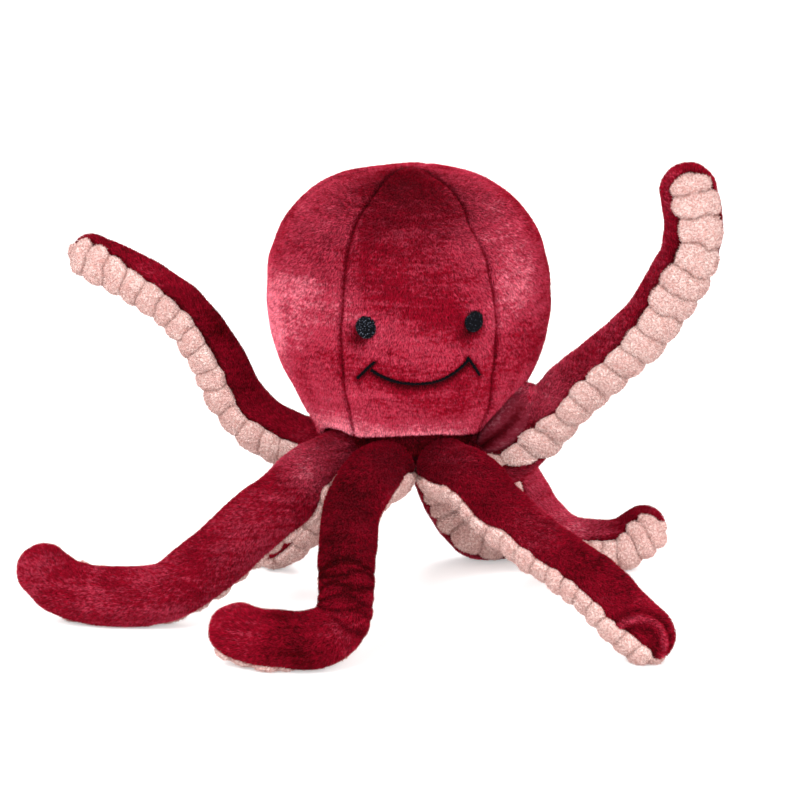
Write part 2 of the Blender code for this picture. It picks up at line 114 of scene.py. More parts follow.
def attribute(tree, name, kind="FLOAT"):
    return addNode(tree, "GeometryNodeInputNamedAttribute", {"Name": name}, data_type=kind).outputs[0]


def closeTree(tree, geometry, material):
    # Ends a tree in real geometry with its material.
    real = addNode(tree, "GeometryNodeRealizeInstances", {"Geometry": geometry}).outputs[0]
    done = addNode(tree, "GeometryNodeSetMaterial", {"Geometry": real, "Material": material}).outputs[0]
    addNode(tree, "NodeGroupOutput", {0: done})
    return tree


def kept(tree, geometry, floor):
    # Lifts what would sink under the floor.
    split = addNode(tree, "ShaderNodeSeparateXYZ", {0: addNode(tree, "GeometryNodeInputPosition").outputs[0]})
    level = calc(tree, "MAXIMUM", split.outputs[2], floor)
    place = addNode(tree, "ShaderNodeCombineXYZ", {0: split.outputs[0], 1: split.outputs[1], 2: level})
    inputs = {"Geometry": geometry, "Position": place.outputs[0]}
    return addNode(tree, "GeometryNodeSetPosition", inputs).outputs[0]


def throughTree(tree, mesh, values, name):
    # The plain mesh that a tree makes of a mesh.
    carrier = bpy.data.objects.new("carrier", mesh)
    scene.collection.objects.link(carrier)
    modifier = carrier.modifiers.new("nodes", "NODES")
    modifier.node_group = tree
    named = {item.name: item.identifier for item in tree.interface.items_tree if item.in_out == "INPUT"}
    for label, value in values.items():
        modifier[named[label]] = value
    bpy.context.view_layer.update()
    graph = bpy.context.evaluated_depsgraph_get()
    made = bpy.data.meshes.new_from_object(
        carrier.evaluated_get(graph), preserve_all_data_layers=True, depsgraph=graph)
    made.name = name
    carrier.modifiers.remove(modifier)
    bpy.data.objects.remove(carrier, do_unlink=True)
    return made


def placed(name, mesh, body, stands=()):
    # Shows a finished mesh as a piece on its body.
    piece = bpy.data.objects.new(name, mesh)
    scene.collection.objects.link(piece)
    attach(piece, body)
    if stands:
        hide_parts(*stands)
    return piece


# Meshes from a grid of points
def gridMesh(name, points, attributes, closedAround=True, poles=True):
    # Rows of points; with poles, the first and last rows are one point each.
    rows, columns = points.shape[:2]
    index = np.arange(rows * columns).reshape(rows, columns)
    if poles:
        index = index - columns + 1
        index[0] = 0
        index[-1] = (rows - 2) * columns + 1
    wrapped = np.roll(index, -1, axis=1) if closedAround else index[:, 1:]
    own = index if closedAround else index[:, :-1]
    quads = np.stack([own[:-1], wrapped[:-1], wrapped[1:], own[1:]], axis=-1).reshape(-1, 4)
    faces = []
    for quad in quads.tolist():
        corners = list(dict.fromkeys(quad))
        if len(corners) > 2:
            faces.append(corners)
    mesh = bpy.data.meshes.new(name)
    mesh.from_pydata(flattened(points, poles).tolist(), [], faces)
    for label, values in attributes.items():
        flat = flattened(values, poles).astype(np.float32)
        kind = "FLOAT_VECTOR" if values.ndim == 3 else "FLOAT"
        layer = mesh.attributes.new(label, kind, "POINT")
        layer.data.foreach_set("vector" if values.ndim == 3 else "value", flat.ravel())
    mesh.shade_smooth()
    mesh.update()
    return mesh


def flattened(values, poles):
    tail = values.shape[2:]
    if not poles:
        return values.reshape(-1, *tail)
    return np.concatenate([values[:1, 0], values[1:-1].reshape(-1, *tail), values[-1:, 0]])


def smoothStep(values):
    t = np.clip(values, 0, 1)
    return t * t * (3 - 2 * t)


def unit(vectors):
    return vectors / np.maximum(np.linalg.norm(vectors, axis=-1, keepdims=True), 1e-12)


def waves(points, size, seed, octaves=3):
    # Smooth, repeatable unevenness from -1 to 1, from a few crossed sine waves.
    random = np.random.default_rng(seed)
    total = np.zeros(points.shape[:-1])
    for octave in range(octaves * 4):
        direction = unit(random.normal(size=3))
        pitch = size / (1 + 0.6 * (octave % octaves))
        total += np.sin(points @ direction * 2 * math.pi / pitch + random.uniform(0, 2 * math.pi))
    return total / math.sqrt(octaves * 8)


# Materials
def newMaterial(name, colour, roughness):
    material = bpy.data.materials.new(name)
    material.use_nodes = True
    material.diffuse_color = (*colour, 1)
    shader = material.node_tree.nodes["Principled BSDF"]
    shader.inputs["Roughness"].default_value = roughness
    return material, material.node_tree, shader


def surfaceAttribute(tree, name):
    return addNode(tree, "ShaderNodeAttribute", attribute_name=name).outputs["Fac"]


plushLook = {
    "tones": (
        (0.0, (0.09, 0.0002, 0.002)), (0.35, (0.29, 0.003, 0.016)), (0.62, (0.5, 0.038, 0.076)),
        (1.0, (0.97, 0.25, 0.335))),
    # root and tip: the hair roots dimmed as painted shade, the tips lightened as painted sheen.
    "root": 0.5,
    "tip": 1.25,
    "nap": 30 * mm,
    "napTone": 0.13,  # how far each layer of spots moves the tone either way
    "streak": 4 * mm,
    "streakTone": 0.07,
    "grain": 1.3 * mm,
    "grainTone": 0.12,
    # The next two darken the colour wherever the shaded attribute marks painted shade: seams, tucks, creases
    # and under the eyes and mouth.
    "shadeTone": 0.35,
    "seamShade": 0.45,
    "hairRange": (0.42, 1.65),
    "sheen": 0.1,
}


def colourStops(tree, value, stops):
    ramp = addNode(tree, "ShaderNodeValToRGB", {"Fac": value})
    line = ramp.color_ramp
    line.interpolation = "EASE"
    for place, colour in stops[1:-1]:
        line.elements.new(place)
    for element, (place, colour) in zip(line.elements, stops):
        element.position = place
        element.color = (*colour, 1)
    return ramp.outputs["Color"]


def plushMaterial():
    # Crimson pile: its tone takes painted highlights and painted shade from attributes, its hair roots are
    # dimmed as painted shade and its tips lightened as painted sheen.
    look = plushLook
    material, tree, shader = newMaterial("crimsonPlush", look["tones"][2][1], 0.7)
    coords = addNode(tree, "ShaderNodeTexCoord").outputs["Object"]
    broad = patches(tree, coords, look["nap"], (1, 1, 0.9), 2.5, 0.5)
    grain = patches(tree, coords, look["grain"], (0.7, 0.7, 1.1), 2)
    streaks = patches(tree, coords, look["streak"], (0.22, 0.22, 1.7), 2)
    tone = ramped(tree, broad, 0.3, 0.7, -look["napTone"], look["napTone"])
    for spots, reach in ((streaks, look["streakTone"]), (grain, look["grainTone"])):
        tone = calc(tree, "ADD", tone, ramped(tree, spots, 0.3, 0.7, -reach, reach))
    # Painted highlights and painted shade, with the plain tone.
    tone = calc(tree, "ADD", tone, surfaceAttribute(tree, "toneAndPaintedLight"))
    shaded = surfaceAttribute(tree, "shaded")
    tone = calc(tree, "SUBTRACT", tone, calc(tree, "MULTIPLY", shaded, look["shadeTone"]))
    colour = colourStops(tree, tone, look["tones"])
    # Painted shade at the hair roots, painted sheen at their tips, and more painted shade where shaded.
    height = ramped(tree, surfaceAttribute(tree, "hairHeight"), 0, 1, look["root"], look["tip"])
    shade = calc(tree, "MULTIPLY", height, ramped(tree, shaded, 0, 1, 1, look["seamShade"]))
    hairs = ramped(tree, surfaceAttribute(tree, "hairTone"), 0, 1, *look["hairRange"])
    shade = calc(tree, "MULTIPLY", shade, hairs)
    colour = dimmed(tree, colour, shade)
    tree.links.new(colour, shader.inputs["Base Color"])
    shader.inputs["Specular IOR Level"].default_value = 0.03
    shader.inputs["Sheen Weight"].default_value = look["sheen"]
    shader.inputs["Sheen Roughness"].default_value = 0.35
    shader.inputs["Sheen Tint"].default_value = (1, 0.14, 0.22, 1)
    bump = addNode(tree, "ShaderNodeBump", {"Height": grain, "Strength": 0.5, "Distance": 0.6 * mm})
    tree.links.new(bump.outputs[0], shader.inputs["Normal"])
    return material


fleeceLook = {
    # The pit and groove colours are painted shade, in the pits between the curls and in the grooves between
    # the ribs.
    "pitShade": (0.50, 0.255, 0.22, 1),
    "body": (0.75, 0.47, 0.44, 1),
    "tip": (0.88, 0.665, 0.62, 1),
    "groove": (0.40, 0.20, 0.17, 1),
    "curlSize": 1.0 * mm,
    "curlStir": 1.1 * mm,
    "mottle": 7 * mm,
    "fine": 0.7 * mm,
}


def fleeceMaterial():
    # Pink curly fleece: pale on the curls, with brownish painted shade in the pits and between the ribs.
    look = fleeceLook
    material, tree, shader = newMaterial("pinkFleece", look["body"][:3], 0.9)
    coords = addNode(tree, "ShaderNodeTexCoord").outputs["Object"]
    stir = addNode(tree, "ShaderNodeTexNoise", {
        "Vector": coords, "Scale": 1 / look["curlStir"], "Detail": 1.0})
    stirred = calcVector(tree, "SUBTRACT", stir.outputs["Color"], (0.5, 0.5, 0.5))
    stirred = scaled(tree, stirred, look["curlStir"])
    stirred = calcVector(tree, "ADD", coords, stirred)
    cells = addNode(tree, "ShaderNodeTexVoronoi", {
        "Vector": stirred, "Scale": 1 / look["curlSize"], "Smoothness": 0.25}, feature="SMOOTH_F1")
    curl = ramped(tree, cells.outputs["Distance"], 0.15, 0.72, 1, 0, smooth=True)
    mottled = patches(tree, coords, look["mottle"])
    fine = patches(tree, coords, look["fine"])
    pale = calc(tree, "ADD", calc(tree, "MULTIPLY", mottled, 0.5), calc(tree, "MULTIPLY", fine, 0.5))
    colour = mixedColour(tree, ramped(tree, pale, 0.38, 0.6), look["body"], look["tip"])
    raised = ramped(tree, curl, 0.0, 0.4, 0.25, 1, smooth=True)
    # Painted shade in the pits between the curls.
    colour = mixedColour(tree, raised, look["pitShade"], colour)
    crest = ramped(tree, surfaceAttribute(tree, "crest"), 0.1, 0.55, 0.1, 1, smooth=True)
    # Painted shade in the grooves between the ribs.
    colour = mixedColour(tree, crest, look["groove"], colour)
    # Lighter towards the curl tips; pale brightens a whole arm's fleece as painted light where positive and
    # dims it as painted shade where negative.
    shade = ramped(tree, surfaceAttribute(tree, "hairHeight"), 0, 1, 1, 1.1)
    shade = calc(tree, "MULTIPLY", shade, calc(tree, "ADD", 1.0, surfaceAttribute(tree, "pale")))
    colour = dimmed(tree, colour, shade)
    tree.links.new(colour, shader.inputs["Base Color"])
    shader.inputs["Specular IOR Level"].default_value = 0.1
    shader.inputs["Sheen Weight"].default_value = 0.1
    shader.inputs["Sheen Roughness"].default_value = 0.5
    height = calc(tree, "ADD", curl, calc(tree, "MULTIPLY", fine, 0.4))
    bump = addNode(tree, "ShaderNodeBump", {"Height": height, "Strength": 0.9, "Distance": 0.6 * mm})
    tree.links.new(bump.outputs[0], shader.inputs["Normal"])
    return material


def threadMaterial():
    # Black embroidery thread with a few blue-grey glints.
    material, tree, shader = newMaterial("blackThread", (0.004, 0.004, 0.005), 0.6)
    coords = addNode(tree, "ShaderNodeTexCoord").outputs["Object"]
    fine = patches(tree, coords, 0.55 * mm, (1, 1, 1), 1)
    glints = calc(tree, "MULTIPLY", ramped(tree, fine, 0.62, 0.7), surfaceAttribute(tree, "glint"))
    colour = mixedColour(tree, glints, (0.002, 0.002, 0.003, 1), (0.16, 0.18, 0.24, 1))
    tree.links.new(colour, shader.inputs["Base Color"])
    shader.inputs["Specular IOR Level"].default_value = 0.03
    bump = addNode(tree, "ShaderNodeBump", {"Height": fine, "Strength": 0.4, "Distance": 0.15 * mm})
    tree.links.new(bump.outputs[0], shader.inputs["Normal"])
    return material


# Pile: hairs over a carrier mesh
def hairBlade():
    # One hair: a thin triangle a unit long, so that its sizes come from the tree.
    mesh = bpy.data.meshes.new("hairBlade")
    mesh.from_pydata([(-0.5, 0, 0), (0.5, 0, 0), (0, 0, 1)], [], [(0, 1, 2)])
    layer = mesh.attributes.new("hairHeight", "FLOAT", "POINT")
    layer.data.foreach_set("value", [0.0, 0.0, 1.0])
    blade = bpy.data.objects.new("hairBlade", mesh)
    scene.collection.objects.link(blade)
    return blade


def pileTree(material):
    # Scatters hairs that lean along the carrier's nap, ruffled in patches.
    tree, given = newTree("pile", {
        "Blade": "Object", "Per square metre": "Float", "Hair length": "Float", "Hair width": "Float",
        "Lean": "Float", "Ruffle": "Float", "Stray": "Float", "Floor": "Float", "Seed": "Int"})
    density = calc(tree, "MULTIPLY", given["Per square metre"], attribute(tree, "pile"))
    spots = addNode(tree, "GeometryNodeDistributePointsOnFaces", {
        "Mesh": given["Geometry"], "Density": density, "Seed": given["Seed"]})
    ruffled = addNode(tree, "ShaderNodeTexNoise", {"Scale": 1 / (9 * mm), "Detail": 2.0}).outputs["Color"]
    ruffled = scaled(tree, calcVector(tree, "SUBTRACT", ruffled, (0.5, 0.5, 0.5)), given["Ruffle"])
    stray = addNode(tree, "FunctionNodeRandomValue", {
        "Min": (-1, -1, -1), "Max": (1, 1, 1), "Seed": given["Seed"]}, data_type="FLOAT_VECTOR").outputs[0]
    along = scaled(tree, attribute(tree, "nap", "FLOAT_VECTOR"), given["Lean"])
    along = calcVector(tree, "ADD", along, ruffled)
    along = calcVector(tree, "ADD", along, scaled(tree, stray, given["Stray"]))
    along = calcVector(tree, "ADD", along, spots.outputs["Normal"])
    turned = addNode(tree, "FunctionNodeAlignRotationToVector", {"Vector": along}, axis="Z").outputs[0]
    turned = addNode(tree, "FunctionNodeAlignRotationToVector", {
        "Rotation": turned, "Vector": spots.outputs["Normal"]}, axis="Y", pivot_axis="Z").outputs[0]
    twist = addNode(tree, "FunctionNodeRandomValue", {2: -1.1, 3: 1.1, "Seed": 5}).outputs[1]
    twist = addNode(tree, "FunctionNodeAxisAngleToRotation", {"Axis": (0, 0, 1), "Angle": twist}).outputs[0]
    turned = addNode(tree, "FunctionNodeRotateRotation", {
        "Rotation": turned, "Rotate By": twist}, rotation_space="LOCAL").outputs[0]
    grown = addNode(tree, "FunctionNodeRandomValue", {2: 0.65, 3: 1.15, "Seed": 7}).outputs[1]
    length = calc(tree, "MULTIPLY", given["Hair length"], grown)
    short = calc(tree, "SUBTRACT", 1.0, calc(tree, "MULTIPLY", attribute(tree, "shaded"), 0.5))
    size = addNode(tree, "ShaderNodeCombineXYZ", {
        0: given["Hair width"], 1: given["Hair width"], 2: calc(tree, "MULTIPLY", length, short)}).outputs[0]
    tone = addNode(tree, "FunctionNodeRandomValue", {2: 0.0, 3: 1.0, "Seed": 9}).outputs[1]
    toned = addNode(tree, "GeometryNodeStoreNamedAttribute", {
        "Geometry": spots.outputs["Points"], "Name": "hairTone", "Value": tone},
        data_type="FLOAT", domain="POINT").outputs[0]
    blade = addNode(tree, "GeometryNodeObjectInfo", {"Object": given["Blade"]}).outputs["Geometry"]
    hairs = addNode(tree, "GeometryNodeInstanceOnPoints", {
        "Points": toned, "Instance": blade, "Rotation": turned, "Scale": size}).outputs[0]
    real = addNode(tree, "GeometryNodeRealizeInstances", {"Geometry": hairs}).outputs[0]
    return closeTree(tree, kept(tree, real, given["Floor"]), material)


print("trees and materials")
plush = plushMaterial()
fleece = fleeceMaterial()
blackThread = threadMaterial()
blade = hairBlade()
plushPile = pileTree(plush)
fleecePile = pileTree(fleece)


plushHairs = {
    "perSquareMm": 9.4,
    "length": 1.7 * mm,
    "width": 0.26 * mm,
    "lean": 1.2,
    "ruffle": 1.0,
    "stray": 0.6,
}


def pileValues(pile, seed, floor):
    return {
        "Blade": blade, "Per square metre": pile["perSquareMm"] / mm**2, "Hair length": pile["length"],
        "Hair width": pile["width"], "Lean": pile["lean"], "Ruffle": pile["ruffle"],
        "Stray": pile["stray"], "Floor": floor, "Seed": seed}


def addPile(name, tree, carrier, body, pile, seed, floor=noFloor):
    mesh = throughTree(tree, carrier, pileValues(pile, seed, floor), name)
    return placed(name, mesh, body)


# The head
head = {
    "radius": 65 * mm,
    "height": 118 * mm,
    "cheekHeight": 58 * mm,
    "hemRadius": 39.5 * mm,
    "hemRounding": 4 * mm,
    "hemLevel": 86.6 * mm,
    "crownPower": 2.47,
    "chinPower": 1.98,
    "gores": 6,
    "seamSpread": 16,  # degrees that the face's seams move apart from the cheeks to the hem
    "leftSeamDrift": ((0, -2), (14, -1), (24, 0.8), (40, 3), (52, 3.5), (68, 2.7), (100, 3), (112, 0)),
    "rightSeamDrift": ((0, 2.5), (14, 3), (30, 1.5), (50, 3), (68, 1.6), (84, 0), (100, -4.5), (112, 0)),
    "pileRoom": 0.3 * mm,  # the cloth lies this far under the tips of the pile
    "seamPinch": 1.7 * mm,
    "grooveDepth": 1.3 * mm,
    "grooveWidth": 1.1 * mm,
    "hemLift": 3.2 * mm,  # how much the hem rises between two seams
    "hemSag": 6 * mm,  # how much it sags between the left raised arm and the left front one
    "sagAzimuth": -90,
    "sagWidth": 17,
    "unevenness": 0.5 * mm,
    "skirtRadius": 33 * mm,  # the cloth that shows between the arms' roots
    "skirtBottom": 77 * mm,
    "neckRadius": 22 * mm,
    "neckBottom": 70 * mm,
    "step": 1.5 * mm,
}
face = {
    "eyeMiddle": -0.5,
    "eyeAzimuth": 22.1,
    "eyeHeight": 57.7 * mm,
    "eyeRise": 2.1 * mm,
    "eyeRadius": 4.8 * mm,
    "eyeTall": 1.08,
    "eyeDome": 1.2 * mm,
    "eyeThread": 0.25 * mm,
    "leftEyeGlint": 0.8,
    "rightEyeGlint": 0.2,
    "smileMiddle": -0.7,
    "smileReach": 20.5,
    "smileHeight": 30.7 * mm,
    "smileSag": 8 * mm,
    "smileRise": 3.8 * mm,
    "smilePower": 2.4,
    "leftCorner": ((-19.4, 40.8 * mm), (-28.2, 32 * mm)),  # azimuth and height of each end
    "rightCorner": ((19.4, 42 * mm), (27.2, 32.6 * mm)),
    "threadRadius": 0.6 * mm,
    "tuckDepth": 1.1 * mm,
    "tuckWidth": 1.7 * mm,
    "eyeShadowAside": -3.2,  # degrees
    "eyeShadowDrop": 5 * mm,
    "eyeShadowSize": 4.8 * mm,
    "smileShadowDrop": 1.6 * mm,
    "smileShadowSize": 1.8 * mm,
    "twist": 3.2 * mm,  # of thread for each turn of its two strands
    "threadSink": 0.3 * mm,
    "eyeSink": 0.9 * mm,
    "eyeStitches": 26,
}


def headProfile():
    # Evenly spaced (radius, height) points from the crown to the middle of the neck's floor.
    crown = head["height"] - head["cheekHeight"]
    line = []
    for angle in np.radians(np.linspace(0, 90, 120)):
        across = math.sin(angle) ** (2 / head["crownPower"])
        up = math.cos(angle) ** (2 / head["crownPower"])
        line.append((head["radius"] * across, head["cheekHeight"] + crown * up))
    drop = np.linspace(0.02, 1, 80)
    hem = head["hemRounding"]
    for share in drop:
        height = head["cheekHeight"] - (head["cheekHeight"] - hem) * share
        line.append((chinRadius(height), height))
    for angle in np.radians(np.linspace(10, 90, 9)):
        radius = chinRadius(hem) - hem * (1 - math.cos(angle))
        line.append((radius, hem * (1 - math.sin(angle))))
    floor = head["neckBottom"] - head["hemLevel"]
    skirt = head["skirtBottom"] - head["hemLevel"]
    line += [(head["skirtRadius"], 0), (head["skirtRadius"], skirt)]
    line += [(head["neckRadius"], floor), (0, floor)]
    line = np.array(line)
    line[:, 1] += head["hemLevel"]
    runs = np.concatenate([[0], np.cumsum(np.linalg.norm(np.diff(line, axis=0), axis=1))])
    even = np.linspace(0, runs[-1], int(runs[-1] / head["step"]))
    return np.stack([np.interp(even, runs, line[:, 0]), np.interp(even, runs, line[:, 1])], axis=1)


def chinRadius(height):
    drop = 1 - height / head["cheekHeight"]
    return head["radius"] - (head["radius"] - head["hemRadius"]) * drop ** head["chinPower"]


def seamReach(level, azimuth):
    # Degrees from the face's middle to its seam on the side of an azimuth.
    height = level - head["hemLevel"]
    drop = np.clip(1 - height / head["cheekHeight"], 0, 1)
    left, right = np.array(head["leftSeamDrift"]), np.array(head["rightSeamDrift"])
    leftDrift = np.interp(height / mm, left[:, 0], left[:, 1])
    rightDrift = np.interp(height / mm, right[:, 0], right[:, 1])
    return 180 / head["gores"] + head["seamSpread"] * drop**2 + np.where(azimuth < 0, leftDrift, rightDrift)


def facePlace(azimuth, height):
    # A point of the smooth head at degrees from the face and a height over the hem.
    level = head["hemLevel"] + height
    upper = [row for row in headProfile() if row[1] > head["hemLevel"] + 1 * mm]
    levels = np.array([row[1] for row in upper])[::-1]
    radii = np.array([row[0] for row in upper])[::-1]
    radius = np.interp(level, levels, radii)
    radius -= head["seamPinch"] * (azimuth / seamReach(level, azimuth)) ** 2
    turned = math.radians(azimuth)
    return Vector((radius * math.sin(turned), -radius * math.cos(turned), level)) + axisSpot


def smilePlaces(count):
    for share in np.linspace(-1, 1, count):
        height = face["smileHeight"] + face["smileSag"] * abs(share) ** face["smilePower"]
        height += face["smileRise"] * share * abs(share) / 2
        yield face["smileMiddle"] + share * face["smileReach"], height


def cornerPlaces(way, count):
    start, end = np.array(face["leftCorner" if way < 0 else "rightCorner"])
    for share in np.linspace(0, 1, count):
        yield tuple(start + (end - start) * share)


def eyePlace(way):
    return face["eyeMiddle"] + way * face["eyeAzimuth"], face["eyeHeight"] + way * face["eyeRise"] / 2


def distanceTo(points, line):
    # How far each point is from the nearest of a line's points.
    flat = points.reshape(-1, 3)
    nearest = np.full(len(flat), 1.0)
    for spot in line:
        nearest = np.minimum(nearest, np.linalg.norm(flat - np.array(spot), axis=1))
    return nearest.reshape(points.shape[:-1])


# Painted light on the head: spots of positive strength are painted highlights, those of negative strength
# painted shade.
paintedLightSpots = {  # azimuth, height, spread aside, upwards and downwards, and strength
    "leftCheek": (-56, 70 * mm, 22, 6 * mm, 20 * mm, 0.37),
    "leftEdge": (-84, 50 * mm, 20, 20 * mm, 26 * mm, 0.22),
    "leftLow": (-44, 30 * mm, 12, 14 * mm, 16 * mm, 0.06),
    "rightLow": (50, 22 * mm, 14, 16 * mm, 16 * mm, 0.02),
    "rightCheek": (47, 72 * mm, 15, 19 * mm, 12 * mm, 0.35),
    "rightCrown": (38, 104 * mm, 20, 9 * mm, 9 * mm, 0.10),
    "mouth": (-1, 44 * mm, 24, 12 * mm, 7 * mm, 0.01),
    "chin": (0, 18 * mm, 22, 9 * mm, 9 * mm, 0.05),
    "leftHem": (-48, 3 * mm, 26, 8 * mm, 8 * mm, 0.5),
    "rightHem": (12, 1 * mm, 26, 6 * mm, 6 * mm, 0.42),
    "leftCrown": (-50, 96 * mm, 22, 12 * mm, 14 * mm, 0.10),
    "brow": (8, 92 * mm, 13, 9 * mm, 9 * mm, 0.07),
    "crown": (6, 111 * mm, 26, 9 * mm, 9 * mm, -0.13),
    "seamSide": (-25, 92 * mm, 5, 20 * mm, 20 * mm, -0.10),
    "midFace": (0, 68 * mm, 24, 6 * mm, 6 * mm, -0.09),
    "leftShade": (-40, 44 * mm, 13, 9 * mm, 9 * mm, -0.12),
    "rightShade": (55, 44 * mm, 13, 12 * mm, 12 * mm, -0.06),
    "rearLeft": (-150, 60 * mm, 30, 12 * mm, 24 * mm, 0.24),
    "rearRight": (140, 75 * mm, 26, 22 * mm, 14 * mm, 0.22),
}
plainTone = 0.46  # of the plush, between its darkest and its palest


def headPaintedLight(azimuth, level):
    # The plush's tone over the head, raised by painted highlights and lowered by painted shade in spots.
    tone = np.full(azimuth.shape, plainTone)
    for around, height, aside, over, under, strength in paintedLightSpots.values():
        away = ((azimuth - around + 180) % 360 - 180) / aside
        up = level - head["hemLevel"] - height
        up = up / np.where(up > 0, over, under)
        tone += strength * np.exp(-0.5 * (away**2 + up**2))
    return tone


def headGrid():
    # The cloth's points, with how deep each lies in a seam and which way its pile runs.
    profile = headProfile()
    columns = int(2 * math.pi * head["radius"] / head["step"] / head["gores"]) * head["gores"]
    azimuth = np.linspace(-180, 180, columns, endpoint=False)[None, :] * np.ones((len(profile), 1))
    half = 180 / head["gores"]
    even = ((azimuth + half) % (2 * half)) / half - 1
    azimuth = azimuth + half * (np.sin(even * math.pi / 2) - even) / 2  # closer columns by the seams
    radius = profile[:, :1] * np.ones((1, columns))
    level = profile[:, 1:] * np.ones((1, columns))
    offset = ((azimuth + half) % (2 * half)) / half - 1  # from -1 at one seam to 1 at the next
    fromSeam = (1 - abs(offset)) * np.radians(half) * radius
    known = np.array([0, half, 3 * half, 6 * half])
    spread = seamReach(level, azimuth) - half
    azimuth = azimuth + np.sign(azimuth) * spread * np.interp(abs(azimuth), known, (0, 1, 0, 0))
    outside = level > head["hemLevel"] + 0.5 * mm
    radius = radius - head["seamPinch"] * offset**2 * radius / head["radius"]
    seam = np.exp(-((fromSeam / head["grooveWidth"]) ** 2)) * outside
    lowness = np.clip(1 - (level - head["hemLevel"]) / (25 * mm), 0, 1)
    level = level + head["hemLift"] * (1 - offset**2) * lowness**2
    sagging = np.exp(-(((azimuth - head["sagAzimuth"]) / head["sagWidth"]) ** 2)) * outside
    level = level - head["hemSag"] * sagging * lowness**2
    turned = np.radians(azimuth)
    outward = np.stack([np.sin(turned), -np.cos(turned), np.zeros_like(turned)], axis=-1)
    points = outward * radius[..., None]
    points[..., 2] = level
    points += np.array(axisSpot)
    normals = gridNormals(points)
    sink = head["pileRoom"] + head["grooveDepth"] * seam
    mouth = [facePlace(*place) for place in smilePlaces(80)]
    for way in (-1, 1):
        mouth += [facePlace(*place) for place in cornerPlaces(way, 14)]
    tuck = np.exp(-((distanceTo(points, mouth) / face["tuckWidth"]) ** 2))
    for way in (-1, 1):
        fromEye = distanceTo(points, [facePlace(*eyePlace(way))])
        tuck = np.maximum(tuck, 0.9 * smoothStep((face["eyeRadius"] + 1.2 * mm - fromEye) / (2 * mm)))
    sink = sink + face["tuckDepth"] * tuck
    rise = head["unevenness"] * waves(points, 34 * mm, 3)
    points = points + normals * (rise - sink)[..., None]
    down = unit(np.gradient(points, axis=0))
    under = np.zeros_like(level)  # the shadow under each eye and along the mouth
    for way in (-1, 1):
        around, height = eyePlace(way)
        spot = facePlace(around + face["eyeShadowAside"], height - face["eyeShadowDrop"])
        away = distanceTo(points, [spot]) / face["eyeShadowSize"]
        under = np.maximum(under, 0.95 * np.exp(-(away**2)))
    lower = [facePlace(around, height - face["smileShadowDrop"]) for around, height in smilePlaces(80)]
    away = distanceTo(points, lower) / face["smileShadowSize"]
    under = np.maximum(under, 0.6 * np.exp(-(away**2)))
    # Painted shade: in the seam grooves, in the tucks round the mouth and eyes, and the painted shadows under
    # the eyes and mouth; below the hem the neck gets painted shade and a darker tone.
    shaded = np.clip(seam * 0.8 + tuck * 0.6 + under, 0, 1)
    shaded = np.where(outside, shaded, 0.5)
    toneAndPaintedLight = np.where(outside, headPaintedLight(azimuth, level), plainTone - 0.12)
    skirt = (level > head["skirtBottom"]) * 0.6
    return points, {
        "shaded": shaded, "nap": down, "toneAndPaintedLight": toneAndPaintedLight,
        "pile": np.where(outside, 1 - 0.9 * (tuck > 0.94), skirt) * smoothStep(radius / (7 * mm))}


def gridNormals(points):
    # Outward normals of a grid whose columns go round.
    down = np.gradient(points, axis=0)
    across = np.roll(points, -1, axis=1) - np.roll(points, 1, axis=1)
    normals = unit(np.cross(down, across))
    middle = points.mean(axis=(0, 1))
    if np.mean(np.sum(normals * (points - middle), axis=-1)) < 0:
        normals = -normals
    normals[0] = (0, 0, 1)
    return normals


def buildHead():
    points, attributes = headGrid()
    mesh = gridMesh("head_cloth", points[:, ::-1], {k: v[:, ::-1] for k, v in attributes.items()})
    mesh.materials.append(plush)
    goreNames = ["back", "left_back", "left_cheek", "face", "right_cheek", "right_back"]
    stands = [name + "_gore" for name in goreNames] + ["head_stuffing"]
    placed("head_cloth", mesh, "head", stands)
    columns = points.shape[1]
    each = columns // head["gores"]
    for number, name in enumerate(goreNames):
        first = (number * each - each // 2) % columns
        picked = (first + np.arange(each + 1)) % columns
        part = {k: v[:, picked][:, ::-1] for k, v in attributes.items()}
        carrier = gridMesh("carrier", points[:, picked][:, ::-1], part, closedAround=False, poles=False)
        addPile(name + "_pile", plushPile, carrier, "head", plushHairs, 11 + number)
    print("head")


# The arms: outwards, sideways and up shares along each, as on the frame
armShape = {
    "length": 170 * mm,
    "radius": 12.6 * mm,
    "rootRadius": 14 * mm,
    "hipHeight": 72 * mm,
    "ring": 37.37 * mm,
    "ribs": 15,
    "ribHeight": 2.6 * mm,
    "grooveDepth": 1.2 * mm,
    "wobble": 0.7,  # of a rib's width
    "lap": 2.2 * mm,
    "lean": 2.6 * mm,  # how wide the edge of the fleece rounds over
    "hidden": 2.2 * mm,
    "nubSize": 1.6 * mm,
    "nubHeight": 0.65 * mm,
    "creaseDepth": 0.5 * mm,
    "creaseWidth": 1.1 * mm,
    "floorRoom": 0.15 * mm,
    "rings": 100,
    "capRings": 10,
    "ringsPerRib": 18,
    "plushRoom": 0.6 * mm,
    "unevenness": 0.35 * mm,
    "taper": ((0.0, 1.0), (0.15, 1.04), (0.6, 0.97), (0.9, 1.03), (1.0, 1.0)),
}
curlPile = {
    "perSquareMm": 5,
    "length": 1.2 * mm,
    "width": 0.3 * mm,
    "lean": 0.1,
    "ruffle": 1.8,
    "stray": 0.9,
}

tipFold = {
    "facing": (-0.44, -0.89, -0.02),
    "radius": 11 * mm,
    "rimWidth": 1.9 * mm,
    "rimHeight": 1.7 * mm,
    "rimGlow": 0.28,
    "discDepth": 0.5 * mm,
    # painted highlights and painted shade over the turned-in disc
    "discPaintedLight": 0.12,
    "grooveDepth": 0.8 * mm,
}
